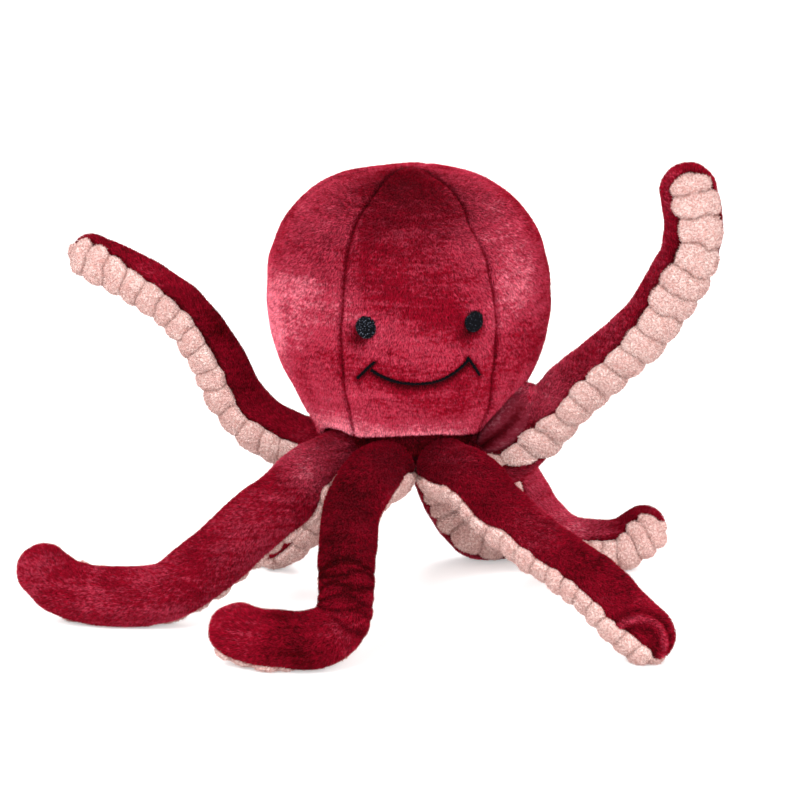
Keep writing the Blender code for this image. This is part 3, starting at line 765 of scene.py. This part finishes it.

# A negative tone darkens an arm's plush as painted shade, a positive one lightens it as painted light; the
# bands along an arm, each (share, spread, strength), are painted highlights where positive and painted shade
# where negative; pale lightens an arm's fleece as painted light where positive and darkens it as painted
# shade where negative.
armCourses = {
    "front_left": {
        "azimuth": -22.5, "rolls": (-22, -12), "lie": 13.66 * mm, "tone": -0.21,
        "insets": ((5.5 * mm, 0.12, 0.88),), "ribHeight": 1.8 * mm,
        "creases": (0.49, 0.52, 0.555, 0.59, 0.62, 0.66),
        "course": (
            (0, 0, 1), (0.1, -0.01, 1), (0.18, -0.03, 0.82), (0.26, -0.015, 0.64), (0.325, 0, 0.45),
            (0.37, 0.013, 0.26), (0.4, 0.005, 0.09), (0.435, -0.045, 0), (0.465, -0.11, 0),
            (0.472, -0.18, 0), (0.467, -0.245, 0.03))},
    "front_right": {
        "azimuth": 22.5, "rolls": (-8, -14), "lie": 12.0 * mm, "tone": -0.12,
        "insets": ((4.5 * mm, 0.05, 0.4), (1.5 * mm, 0.5, 0.95)), "ribHeight": 1.9 * mm,
        "paintedLightBands": ((0.8, 0.12, -0.07),), "foldedTip": True,
        "course": (
            (0, 0, 1), (0.1, 0.02, 0.98), (0.19, 0.05, 0.8), (0.29, 0.1, 0.61), (0.38, 0.15, 0.47),
            (0.46, 0.2, 0.32), (0.515, 0.24, 0.15), (0.55, 0.285, 0))},
    "right_raised": {
        "azimuth": 67.5, "rolls": (-10, -66), "raised": True, "tone": -0.04, "pale": -0.09,
        "paintedLightBands": ((0.33, 0.12, 0.2),), "insets": ((3.5 * mm, 0.3, 1.5),), "border": 6 * mm,
        "end": 9 * mm, "rootInset": 20 * mm, "rootSpan": 0.34, "ribStart": 0.16,
        "rootRoll": -100, "rollSpan": 0.3,
        "course": (
            (0, 0, 1), (0.07, 0, 1.065), (0.138, 0, 1.28), (0.236, 0, 1.595), (0.33, 0, 1.84),
            (0.426, 0, 2.1), (0.498, 0, 2.41), (0.545, 0, 2.68), (0.556, 0, 2.95), (0.541, 0, 3.15))},
    "right_rear": {
        "azimuth": 112.5, "rolls": (35, -50), "lie": 12.82 * mm, "girths": (1.0, 0.88),
        "border": 3 * mm, "end": 9 * mm, "tone": 0.08, "pale": 0.12,
        "course": (
            (0, 0, 1), (0.062, 0.005, 0.93), (0.128, 0.032, 0.66), (0.222, 0.062, 0.3), (0.326, 0.075, 0.06),
            (0.432, 0.05, 0), (0.49, 0.03, 0.02), (0.538, 0.012, 0.12))},
    "back_right": {
        "azimuth": 157.5, "rolls": (-60, -60), "lie": 13.16 * mm, "girths": (1.12, 1.0), "pale": 0.12,
        "ribHeight": 3 * mm,
        "course": (
            (0, 0, 1), (0.148, 0.04, 0.88), (0.24, 0.045, 0.6), (0.27, 0.018, 0.28),
            (0.285, -0.055, 0.02), (0.35, -0.14, 0), (0.41, -0.205, 0))},
    "back_left": {
        "azimuth": -157.5, "rolls": (-55, -55), "lie": 12.93 * mm,
        "course": (
            (0, 0, 1), (0.055, 0.01, 0.92), (0.1, 0.045, 0.72), (0.14, 0.09, 0.48), (0.182, 0.134, 0.24),
            (0.239, 0.165, 0.07), (0.351, 0.157, 0), (0.491, 0.11, 0), (0.612, 0.05, 0))},
    "left_raised": {
        "azimuth": -112.5, "rolls": (28, 45), "raised": True, "girths": (0.97, 0.78), "tone": -0.2,
        "insets": ((3.2 * mm, 0.3, 0.92),), "ribStart": 0.3,
        "course": (
            (0, 0, 1), (0.1, 0, 1.04), (0.19, 0, 1.14), (0.266, 0, 1.35), (0.324, 0, 1.66),
            (0.407, 0, 1.98), (0.507, 0, 2.19), (0.61, 0, 2.33), (0.686, 0, 2.42))},
    "left_front": {
        "azimuth": -67.5, "rolls": (-48, -54), "lie": 13.63 * mm, "girths": (1.15, 1.0), "tone": -0.1,
        "paintedLightBands": ((0.1, 0.05, 0.27), (0.33, 0.12, -0.06), (0.62, 0.12, 0.17)),
        "insets": ((5.5 * mm, 0.2, 1.5),),
        "course": (
            (0, 0, 1), (0.08, 0, 0.9), (0.15, 0, 0.74), (0.22, -0.03, 0.59), (0.29, -0.05, 0.4),
            (0.37, -0.07, 0.22), (0.45, -0.11, 0.05), (0.53, -0.16, 0), (0.615, -0.222, 0),
            (0.675, -0.272, 0.05), (0.715, -0.312, 0.16))},
}


def smoothLine(points, steps=24):
    # Samples of the smooth line through the points.
    ends = [2 * points[0] - points[1], *points, 2 * points[-1] - points[-2]]
    line = []
    for a, b, c, d in zip(ends, ends[1:], ends[2:], ends[3:]):
        for t in np.linspace(0, 1, steps, endpoint=False):
            line.append(b + (c - a) * t / 2 + (2 * a - 5 * b + 4 * c - d) * t**2 / 2
                        + (3 * b - a - 3 * c + d) * t**3 / 2)
    return np.array(line + [points[-1]])


def evenLine(line, count):
    runs = np.concatenate([[0], np.cumsum(np.linalg.norm(np.diff(line, axis=0), axis=1))])
    even = np.linspace(0, runs[-1], count)
    return np.stack([np.interp(even, runs, line[:, k]) for k in range(3)], axis=1)


def armLine(arm, count):
    turned = math.radians(arm["azimuth"])
    outwards = np.array((math.sin(turned), -math.cos(turned), 0))
    sideways = np.cross((0, 0, 1), outwards)
    root = outwards * armShape["ring"] + np.array(axisSpot)
    lie = arm.get("lie", armShape["radius"])
    points = []
    for out, side, up in arm["course"]:
        point = root + armShape["length"] * (out * outwards + side * sideways)
        point[2] = lie + (armShape["hipHeight"] - lie) * up
        points.append(point)
    return evenLine(smoothLine(points), count), outwards


def armFrame(arm, count):
    # Rings from the root to the tip: centre, side, upward and forward directions, radius and share.
    centres, outwards = armLine(arm, count)
    forward = unit(np.gradient(centres, axis=0))
    blend = smoothStep(np.arange(count) / count * 15)[:, None]
    forward = unit(forward * blend + outwards * (1 - blend))
    shares = np.linspace(0, 1, count)
    early, late = np.radians(arm["rolls"])
    rolls = np.where(shares < 0.4, early * shares / 0.4, early + (late - early) * (shares - 0.4) / 0.6)
    fromRoot = 1 - smoothStep(shares / arm.get("rollSpan", 1))
    rolls = rolls + math.radians(arm.get("rootRoll", 0)) * fromRoot
    upward = np.array((0.0, 0.0, 1.0))
    ups = []
    for k in range(count):
        upward = upward - upward.dot(forward[k]) * forward[k]
        upward /= np.linalg.norm(upward)
        ups.append(np.array(Matrix.Rotation(rolls[k], 3, Vector(forward[k])) @ Vector(upward)))
    ups = np.array(ups)
    taper = np.array(armShape["taper"])
    middle, tip = arm.get("girths", (1.0, 1.0))
    girth = middle + (tip - middle) * np.clip(2 * shares - 1, 0, 1)
    full = armShape["radius"] * girth * np.interp(shares, taper[:, 0], taper[:, 1])
    grown = np.minimum(1, shares / 0.1)
    radii = armShape["rootRadius"] + (full - armShape["rootRadius"]) * grown
    return centres, np.cross(ups, forward), ups, forward, radii, shares


def tubeGrid(arm, count, caps, angles):
    # Bare rings with a half ball at each end: centres, spokes, radii and shares, one row a ring.
    centres, sides, ups, forward, radii, shares = armFrame(arm, count)
    rows = []
    for k in range(caps):
        lift = math.radians(90 * k / caps)
        rows.append((0, lift, -1))
    rows += [(k, math.pi / 2, 1) for k in range(count)]
    for k in range(caps - 1, -1, -1):
        rows.append((count - 1, math.radians(90 * k / caps), 1))
    which = np.array([row[0] for row in rows])
    lift = np.array([row[1] for row in rows])[:, None, None]
    way = np.array([row[2] for row in rows])[:, None, None]
    cos, sin = np.cos(angles)[None, :, None], np.sin(angles)[None, :, None]
    spokes = sides[which][:, None] * cos + ups[which][:, None] * sin
    spokes = spokes * np.sin(lift) + forward[which][:, None] * np.cos(lift) * way
    ribPhase = shares[which] * armShape["ribs"]
    onTip = (way[:, 0, 0] > 0)
    ribPhase = ribPhase + np.where(onTip, 1, 0) * (1 - lift[:, 0, 0] / (math.pi / 2)) * 2
    wide = np.ones((1, len(angles)))
    return {
        "centre": centres[which][:, None] * wide[..., None],
        "spoke": spokes,
        "radius": radii[which][:, None] * wide,
        "share": shares[which][:, None] * wide,
        "phase": ribPhase[:, None] * wide,
        "forward": forward[which][:, None] * wide[..., None],
        "lift": lift[..., 0] * wide,
        "angle": angles[None, :] * np.ones((len(rows), 1)),
    }


def belowSeam(grid, arm):
    # How far each point is inside the underside, along the girth; above the seam it is negative.
    turned = np.degrees(grid["angle"]) % 360
    away = np.where(turned > 180, np.minimum(turned - 180, 360 - turned), -np.minimum(turned, 180 - turned))
    below = np.radians(away) * grid["radius"] * np.sin(grid["lift"]).clip(0.05)
    below = below - arm.get("border", 0.0) * smoothStep((grid["share"] - 0.7) / 0.2)
    nearRoot = 1 - smoothStep(grid["share"] / arm.get("rootSpan", 1))
    below = below - arm.get("rootInset", 0.0) * nearRoot
    for inset, first, last in arm.get("insets", ()):
        into = smoothStep((grid["share"] - first) / 0.1 + 1) * smoothStep((last - grid["share"]) / 0.1)
        below = below - inset * into
    return below - arm.get("end", 2 * mm) * (1 - np.sin(grid["lift"])) * (grid["share"] > 0.5)


def creased(grid, arm):
    # How deep each point is in one of the arm's creases, from 0 to 1.
    deep = np.zeros_like(grid["share"])
    for number, share in enumerate(arm.get("creases", ())):
        wavy = share + 0.008 * np.sin(grid["angle"] * 3 + number * 2)
        away = (grid["share"] - wavy) * armShape["length"] * 0.8 / armShape["creaseWidth"]
        deep = np.maximum(deep, np.exp(-(away**2)) * (grid["lift"] > 1.5))
    return deep


def foldedTip(grid, arm):
    # A rim round the end of the arm and the cloth turned in within it: how far out, its painted shade, and
    # its painted light (a highlight on the rim, light and shade over the disc).
    if not arm.get("foldedTip"):
        return 0.0, 0.0, 0.0
    fromEnd = grid["centre"] - grid["centre"][-1, 0] + grid["spoke"] * grid["radius"][..., None]
    discMiddle = unit(np.array(tipFold["facing"])) * armShape["radius"]
    away = (np.linalg.norm(fromEnd - discMiddle, axis=-1) - tipFold["radius"]) / tipFold["rimWidth"]
    rim = np.exp(-(away**2))
    groove = np.exp(-(((away - 1.9) / 0.7) ** 2))
    edge = np.exp(-((away + 1.4) ** 2))
    disc = smoothStep(-away - 0.5)
    out = tipFold["rimHeight"] * rim - tipFold["discDepth"] * disc - tipFold["grooveDepth"] * groove
    # Painted light and painted shade in waves over the turned-in disc.
    mottled = tipFold["discPaintedLight"] * waves(fromEnd, 7 * mm, 8) * disc
    return out, np.clip(0.45 * edge + 0.5 * groove + 0.1 * disc, 0, 1), tipFold["rimGlow"] * rim + mottled


def fleeceTree():
    # Raises ribs and curls from a bare tube, from seam to seam of the underside.
    tree, given = newTree("ribbedFleece", {
        "Rib height": "Float", "Groove depth": "Float", "Lap": "Float", "Edge": "Float", "Wobble": "Float",
        "Hidden": "Float", "Nub size": "Float", "Nub height": "Float", "Floor": "Float", "Seed": "Float"})
    wobble = addNode(tree, "ShaderNodeTexNoise", {"Scale": 1 / (14 * mm), "Detail": 1.0}).outputs["Fac"]
    wobble = calc(tree, "MULTIPLY", calc(tree, "SUBTRACT", wobble, 0.5), given["Wobble"])
    phase = calc(tree, "ADD", attribute(tree, "phase"), wobble)
    crest = calc(tree, "ABSOLUTE", calc(tree, "SINE", calc(tree, "MULTIPLY", phase, math.pi)))
    crest = calc(tree, "POWER", crest, 0.5)
    number = calc(tree, "ADD", calc(tree, "FLOOR", phase), given["Seed"])
    uneven = addNode(tree, "ShaderNodeTexWhiteNoise", {"W": number}, noise_dimensions="1D").outputs["Value"]
    lap = calc(tree, "MULTIPLY", given["Lap"], calc(tree, "ADD", 0.4, uneven))
    inside = calc(tree, "MULTIPLY_ADD", crest, lap, attribute(tree, "below"))
    raised = ramped(tree, calc(tree, "DIVIDE", inside, given["Edge"]), 0, 1, smooth=True)
    ribbed = calc(tree, "MULTIPLY", attribute(tree, "ribbed"), raised)
    height = calc(tree, "MULTIPLY", given["Rib height"], calc(tree, "MULTIPLY_ADD", uneven, 0.3, 0.85))
    bulge = calc(tree, "SUBTRACT", calc(tree, "MULTIPLY", crest, height), given["Groove depth"])
    bulge = calc(tree, "MULTIPLY", bulge, ribbed)
    sunk = calc(tree, "MULTIPLY", calc(tree, "SUBTRACT", raised, 1.0), given["Hidden"])
    cells = addNode(tree, "ShaderNodeTexVoronoi", {
        "Scale": calc(tree, "DIVIDE", 1.0, given["Nub size"]), "Smoothness": 0.35, "Randomness": 1.0},
        feature="SMOOTH_F1").outputs["Distance"]
    curl = calc(tree, "SUBTRACT", 1.0, ramped(tree, cells, 0.05, 0.75, smooth=True))
    nub = calc(tree, "MULTIPLY", calc(tree, "MULTIPLY", curl, given["Nub height"]), raised)
    out = calc(tree, "ADD", calc(tree, "ADD", bulge, sunk), nub)
    moved = addNode(tree, "GeometryNodeSetPosition", {
        "Geometry": given["Geometry"], "Offset": scaled(tree, attribute(tree, "spoke", "FLOAT_VECTOR"), out)})
    geometry = moved.outputs[0]
    for name, value in (("crest", crest), ("pile", ramped(tree, raised, 0.3, 0.9))):
        geometry = addNode(tree, "GeometryNodeStoreNamedAttribute", {
            "Geometry": geometry, "Name": name, "Value": value}, data_type="FLOAT", domain="POINT").outputs[0]
    return closeTree(tree, kept(tree, geometry, given["Floor"]), fleece)


def fleeceValues(ribHeight, grooveDepth, floor, seed):
    return {
        "Rib height": ribHeight, "Groove depth": grooveDepth, "Lap": armShape["lap"],
        "Edge": armShape["lean"], "Wobble": armShape["wobble"], "Hidden": armShape["hidden"],
        "Nub size": armShape["nubSize"], "Nub height": armShape["nubHeight"], "Floor": floor, "Seed": seed}


ribbedFleece = fleeceTree()


def buildArm(name, arm, seed):
    floor = noFloor if arm.get("raised") else armShape["floorRoom"]
    body = name + "_arm"

    # The plush goes all round, and its lower half is hidden in the fleece.
    angles = np.radians(np.concatenate([np.linspace(-16, 196, 44), np.linspace(212, 328, 9)]))
    grid = tubeGrid(arm, armShape["rings"], armShape["capRings"], angles)
    above = -belowSeam(grid, arm)
    shown = smoothStep((above + 0.6 * mm) / (2.4 * mm))
    out = -armShape["hidden"] * (1 - shown) - armShape["plushRoom"] * shown
    crease = creased(grid, arm)
    fold, foldShade, crestHighlight = foldedTip(grid, arm)
    out = out - armShape["creaseDepth"] * crease + fold
    surface = grid["centre"] + grid["spoke"] * armShape["radius"]
    out = out + armShape["unevenness"] * waves(surface, 22 * mm, seed)
    points = grid["centre"] + grid["spoke"] * (grid["radius"] + out)[..., None]
    points[..., 2] = np.maximum(points[..., 2], floor)
    # Painted shade along the plush's edge by the fleece, in the creases and on the folded tip; painted light
    # from the arm's tone shift, its bands along it and the tip's rim, over random waves of tone.
    edge = np.clip(1 - above / (2.5 * mm), 0, 1)
    shaded = np.clip(edge * 0.7 + crease * 0.6 + foldShade, 0, 1)
    toneAndPaintedLight = np.full(above.shape, plainTone + arm.get("tone", 0.0))
    toneAndPaintedLight += 0.09 * waves(grid["centre"], 45 * mm, seed + 5, 1) + crestHighlight
    for share, spread, strength in arm.get("paintedLightBands", ()):
        toneAndPaintedLight += strength * np.exp(-(((grid["share"] - share) / spread) ** 2))
    attributes = {
        "shaded": shaded, "toneAndPaintedLight": toneAndPaintedLight, "pile": (above > 0.3 * mm) * 1.0, "nap": grid["forward"]}
    mesh = gridMesh(body + "_plush", points, attributes)
    mesh.materials.append(plush)
    placed(body + "_plush", mesh, body, (body + "_top", body + "_stuffing"))
    addPile(body + "_pile", plushPile, mesh, body, plushHairs, seed, floor)

    # The fleece's upper half is hidden in the plush.
    angles = np.radians(np.concatenate([np.linspace(166, 374, 76), np.linspace(395, 505, 5)]))
    perRib = armShape["ringsPerRib"]
    grid = tubeGrid(arm, armShape["ribs"] * perRib + 1, perRib, angles)
    points = grid["centre"] + grid["spoke"] * grid["radius"][..., None]
    ribbed = smoothStep(grid["share"] / arm.get("ribStart", 0.06)) * np.ones_like(grid["angle"])
    # pale carries the arm's painted light on its fleece where positive and painted shade where negative.
    attributes = {
        "phase": grid["phase"], "below": belowSeam(grid, arm), "spoke": grid["spoke"], "ribbed": ribbed,
        "nap": grid["forward"], "pale": np.full(ribbed.shape, arm.get("pale", 0.0))}
    carrier = gridMesh("carrier", points, attributes)
    ribHeight = arm.get("ribHeight", armShape["ribHeight"])
    values = fleeceValues(ribHeight, armShape["grooveDepth"], floor, float(seed * 40))
    mesh = throughTree(ribbedFleece, carrier, values, body + "_fleece")
    placed(body + "_fleece", mesh, body, (body + "_underside",))
    addPile(body + "_curls", fleecePile, mesh, body, curlPile, seed, floor)
    print(name)


# The face
def threadTree():
    # Round threads along the edges of a carrier.
    tree, given = newTree("threads", {"Radius": "Float"})
    curve = addNode(tree, "GeometryNodeMeshToCurve", {0: given["Geometry"]}).outputs[0]
    ring = addNode(tree, "GeometryNodeCurvePrimitiveCircle", {"Resolution": 6, "Radius": given["Radius"]})
    tube = addNode(tree, "GeometryNodeCurveToMesh", {
        "Curve": curve, "Profile Curve": ring.outputs["Curve"], "Fill Caps": True}).outputs[0]
    return closeTree(tree, tube, blackThread)


embroidery = threadTree()


def lineMesh(lines, glint=0.0):
    # One mesh of edges along each line of points.
    points, edges = [], []
    for line in lines:
        start = len(points)
        points += [tuple(point) for point in line]
        edges += [(k, k + 1) for k in range(start, start + len(line) - 1)]
    mesh = bpy.data.meshes.new("threads")
    mesh.from_pydata(points, edges, [])
    layer = mesh.attributes.new("glint", "FLOAT", "POINT")
    layer.data.foreach_set("value", [glint] * len(points))
    return mesh


def faceNormal(azimuth, height):
    across = facePlace(azimuth + 2, height) - facePlace(azimuth - 2, height)
    upwards = facePlace(azimuth, height + 2 * mm) - facePlace(azimuth, height - 2 * mm)
    return across.cross(upwards).normalized()


def buildStitch(name, places):
    places = list(places)
    centres = []
    for azimuth, height in places:
        centres.append(facePlace(azimuth, height) - faceNormal(azimuth, height) * face["threadSink"])
    line = evenLine(np.array(centres), len(centres))
    total = np.linalg.norm(np.diff(line, axis=0), axis=1).sum()
    turns = total / face["twist"]
    lines = []
    for strand in range(2):
        phase = strand * math.pi + np.linspace(0, turns * 2 * math.pi, len(line))
        strandPoints = []
        for k, (azimuth, height) in enumerate(places):
            normal = faceNormal(azimuth, height)
            ahead = Vector(line[min(k + 1, len(line) - 1)] - line[max(k - 1, 0)]).normalized()
            side = ahead.cross(normal)
            swing = face["threadRadius"] * 0.55
            strandPoints.append(Vector(line[k]) + side * math.cos(phase[k]) * swing
                                + normal * math.sin(phase[k]) * swing)
        lines.append(strandPoints)
    mesh = throughTree(embroidery, lineMesh(lines), {"Radius": face["threadRadius"] * 0.75}, name + "_thread")
    placed(name + "_thread", mesh, "head", (name,))


def buildEye(name, way, glint):
    azimuth, height = eyePlace(way)
    centre = facePlace(azimuth, height)
    normal = faceNormal(azimuth, height)
    upwards = (Vector((0, 0, 1)) - normal * normal.z).normalized()
    across = upwards.cross(normal)
    radius = face["eyeRadius"]
    lines = []
    count = face["eyeStitches"]
    for k in range(count):
        aside = 2 * (k + 0.5) / count - 1
        reach = math.sqrt(max(0.0, 1 - aside**2)) * face["eyeTall"]
        line = []
        for t in np.linspace(-1, 1, 13):
            dome = max(0.0, 1 - aside**2 - (t * reach) ** 2 * 0.9) ** 0.5
            out = face["eyeDome"] * dome - face["eyeSink"]
            line.append(centre + across * aside * radius + upwards * t * reach * radius + normal * out)
        lines.append(line)
    mesh = throughTree(embroidery, lineMesh(lines, glint), {"Radius": face["eyeThread"]}, name + "_threads")
    placed(name + "_threads", mesh, "head", (name,))


def buildFace():
    buildEye("left_eye", -1, face["leftEyeGlint"])
    buildEye("right_eye", 1, face["rightEyeGlint"])
    buildStitch("smile_stitch", smilePlaces(90))
    buildStitch("left_smile_corner", cornerPlaces(-1, 18))
    buildStitch("right_smile_corner", cornerPlaces(1, 18))
    print("face")


# The base between the roots
base = {"radius": 23.5 * mm, "level": 66 * mm, "thick": 5 * mm}


def buildBase():
    angles = np.radians(np.linspace(0, 360, 64, endpoint=False))
    lifts = np.radians(np.linspace(0, 180, 40))
    across = np.sin(lifts)[:, None, None] ** 0.7 * base["radius"]
    spread = np.stack([np.cos(angles), np.sin(angles), np.zeros_like(angles)], axis=-1)[None]
    points = spread * across
    points[..., 2] = base["level"] - np.cos(lifts)[:, None] * base["thick"] / 2
    points += np.array(axisSpot)
    spoke = np.zeros_like(points)
    spoke[..., 2] = -1
    ones = np.ones(points.shape[:2])
    attributes = {
        "phase": ones * 0.5, "below": ones * 5 * mm, "spoke": spoke, "ribbed": ones,
        "nap": spread * ones[..., None]}
    carrier = gridMesh("carrier", points, attributes)
    mesh = throughTree(ribbedFleece, carrier, fleeceValues(0.0, 0.0, noFloor, 1.0), "base_fleece")
    placed("base_fleece", mesh, "head", ("base_cup",))
    addPile("base_curls", fleecePile, mesh, "head", curlPile, 71)


# The cloth gathered where the right raised arm joins the head
gather = {
    "knot": (54, 38 * mm, 79 * mm),  # azimuth, radius and level
    "middle": (61, 51 * mm, 92 * mm),
    "far": (65, 61 * mm, 108 * mm),
    "thick": 10 * mm,
    "folds": 5,
    "valley": math.radians(10),  # where one fold is deepest
    "foldDepth": 3 * mm,
    "rings": 44,
    "spokes": 72,
    # painted highlight on the fold crests
    "crestHighlight": 0.27,
    "seed": 91,
}


def aroundAxis(azimuth, radius, level):
    turned = math.radians(azimuth)
    return np.array((radius * math.sin(turned), -radius * math.cos(turned), level)) + np.array(axisSpot)


def buildGather():
    knot, middle, far = (aroundAxis(*gather[spot]) for spot in ("knot", "middle", "far"))
    centres = evenLine(smoothLine([knot, middle, far]), gather["rings"])
    forward = unit(np.gradient(centres, axis=0))
    across = unit(np.cross(forward, (0, 0, 1)))
    upward = np.cross(across, forward)
    angles = np.radians(np.linspace(0, 360, gather["spokes"], endpoint=False))
    shares = np.linspace(0, 1, gather["rings"])
    thick = gather["thick"] * np.sin(np.arccos(np.clip(1 - 2 * shares, -1, 1))) ** 0.8
    turned = (angles[None] - gather["valley"]) * gather["folds"] / 2
    ripple = np.abs(np.sin(turned + 0.3 * np.sin(shares[:, None] * 4)))
    fold = ripple**0.6
    sink = (1 - fold) * (1 - smoothStep((shares[:, None] - 0.35) / 0.5)) * (shares[:, None] > 0)
    radius = np.maximum(thick[:, None] - gather["foldDepth"] * sink, 0)
    spokes = across[:, None] * np.cos(angles)[None, :, None] + upward[:, None] * np.sin(angles)[None, :, None]
    points = centres[:, None] + spokes * radius[..., None]
    ones = np.ones(radius.shape)
    # Painted highlights on the fold crests and painted shade in the valleys between them.
    toneAndPaintedLight = plainTone + 0.02 + gather["crestHighlight"] * ripple**2 * (1 - 0.5 * shares[:, None]) * ones
    attributes = {
        "shaded": np.clip(sink * 0.9, 0, 1), "toneAndPaintedLight": toneAndPaintedLight, "pile": ones,
        "nap": forward[:, None] * ones[..., None]}
    mesh = gridMesh("gather_cloth", points, attributes)
    mesh.materials.append(plush)
    pieces = [bpy.data.objects.new("gather_cloth", mesh)]
    values = pileValues(plushHairs, gather["seed"], noFloor)
    pieces.append(bpy.data.objects.new("gather_pile", throughTree(plushPile, mesh, values, "gather_pile")))
    for piece in pieces:
        scene.collection.objects.link(piece)
        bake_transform(piece)
    print("gather")


buildHead()
buildFace()
buildBase()
buildGather()
for number, (armName, armCourse) in enumerate(armCourses.items()):
    buildArm(armName, armCourse, 31 + number)
bpy.data.objects.remove(blade, do_unlink=True)


# The stage, the light and the camera
stage = {
    "size": 16.0,
    "white": 0.9,
    "glowNear": 0.4,
    "glowFar": 0.75,
    "near": 0.4,
    "far": 2.0,
    "worldLight": 0.7,
    "worldSeen": 1.0,
}
lamps = {
    "key": {"at": (-0.9, -1.3, 1.4), "size": 1.1, "power": 36},
    "fill": {"at": (1.3, -1.1, 0.8), "size": 1.4, "power": 14},
    "low": {"at": (0.1, -1.65, 0.3), "size": 1.2, "power": 20},
    "rim": {"at": (0.3, 1.2, 1.5), "size": 1.0, "power": 22},
}
cameraView = {
    "azimuth": -5.5,
    "elevation": 12.5,
    "distance": 1.6,
    "lens": 156.96,
    "height": 97 * mm,
    "aside": -3.67 * mm,
}


def buildStage():
    mesh = bpy.data.meshes.new("floor")
    half = stage["size"] / 2
    corners = [(-half, -half, 0), (half, -half, 0), (half, half, 0), (-half, half, 0)]
    mesh.from_pydata(corners, [], [(0, 1, 2, 3)])
    floor = bpy.data.objects.new("floor", mesh)
    scene.collection.objects.link(floor)
    material, tree, shader = newMaterial("paleFloor", (stage["white"],) * 3, 0.8)
    shader.inputs["Base Color"].default_value = (stage["white"],) * 3 + (1,)
    shader.inputs["Specular IOR Level"].default_value = 0.1
    shader.inputs["Emission Color"].default_value = (1, 1, 1, 1)
    rays = addNode(tree, "ShaderNodeLightPath")
    seen = calc(tree, "MAXIMUM", rays.outputs["Is Camera Ray"], rays.outputs["Is Glossy Ray"])
    seen = calc(tree, "MAXIMUM", seen, rays.outputs["Is Transmission Ray"])
    coords = addNode(tree, "ShaderNodeTexCoord").outputs["Object"]
    away = addNode(tree, "ShaderNodeVectorMath", {0: coords}, operation="LENGTH").outputs["Value"]
    glow = ramped(tree, away, stage["near"], stage["far"], stage["glowNear"], stage["glowFar"])
    tree.links.new(calc(tree, "MULTIPLY", seen, glow), shader.inputs["Emission Strength"])
    mesh.materials.append(material)
    world = bpy.data.worlds.new("studio")
    scene.world = world
    world.use_nodes = True
    tree = world.node_tree
    rays = addNode(tree, "ShaderNodeLightPath")
    tree.nodes["Background"].inputs["Color"].default_value = (1, 1, 1, 1)
    strength = ramped(tree, rays.outputs["Is Camera Ray"], 0, 1, stage["worldLight"], stage["worldSeen"])
    tree.links.new(strength, tree.nodes["Background"].inputs["Strength"])


def buildLights():
    target = Vector(axisSpot) + Vector((0, 0, 0.1))
    for name, lamp in lamps.items():
        light = bpy.data.lights.new(name, "AREA")
        light.size = lamp["size"]
        light.energy = lamp["power"]
        made = bpy.data.objects.new(name, light)
        made.location = lamp["at"]
        made.rotation_euler = (target - Vector(lamp["at"])).to_track_quat("-Z", "Y").to_euler()
        scene.collection.objects.link(made)


def buildCamera():
    turned, raised = math.radians(cameraView["azimuth"]), math.radians(cameraView["elevation"])
    back = Vector((math.sin(turned), -math.cos(turned), math.tan(raised))).normalized()
    right = Vector((math.cos(turned), math.sin(turned), 0))
    target = axisSpot + Vector((0, 0, cameraView["height"])) + right * cameraView["aside"]
    camera = bpy.data.cameras.new("camera")
    camera.lens = cameraView["lens"]
    camera.sensor_width = 36
    made = bpy.data.objects.new("camera", camera)
    made.location = target + back * cameraView["distance"]
    made.rotation_euler = (-back).to_track_quat("-Z", "Y").to_euler()
    scene.collection.objects.link(made)
    scene.camera = made


buildStage()
buildLights()
buildCamera()
scene.view_settings.view_transform = "Standard"
print("stage")
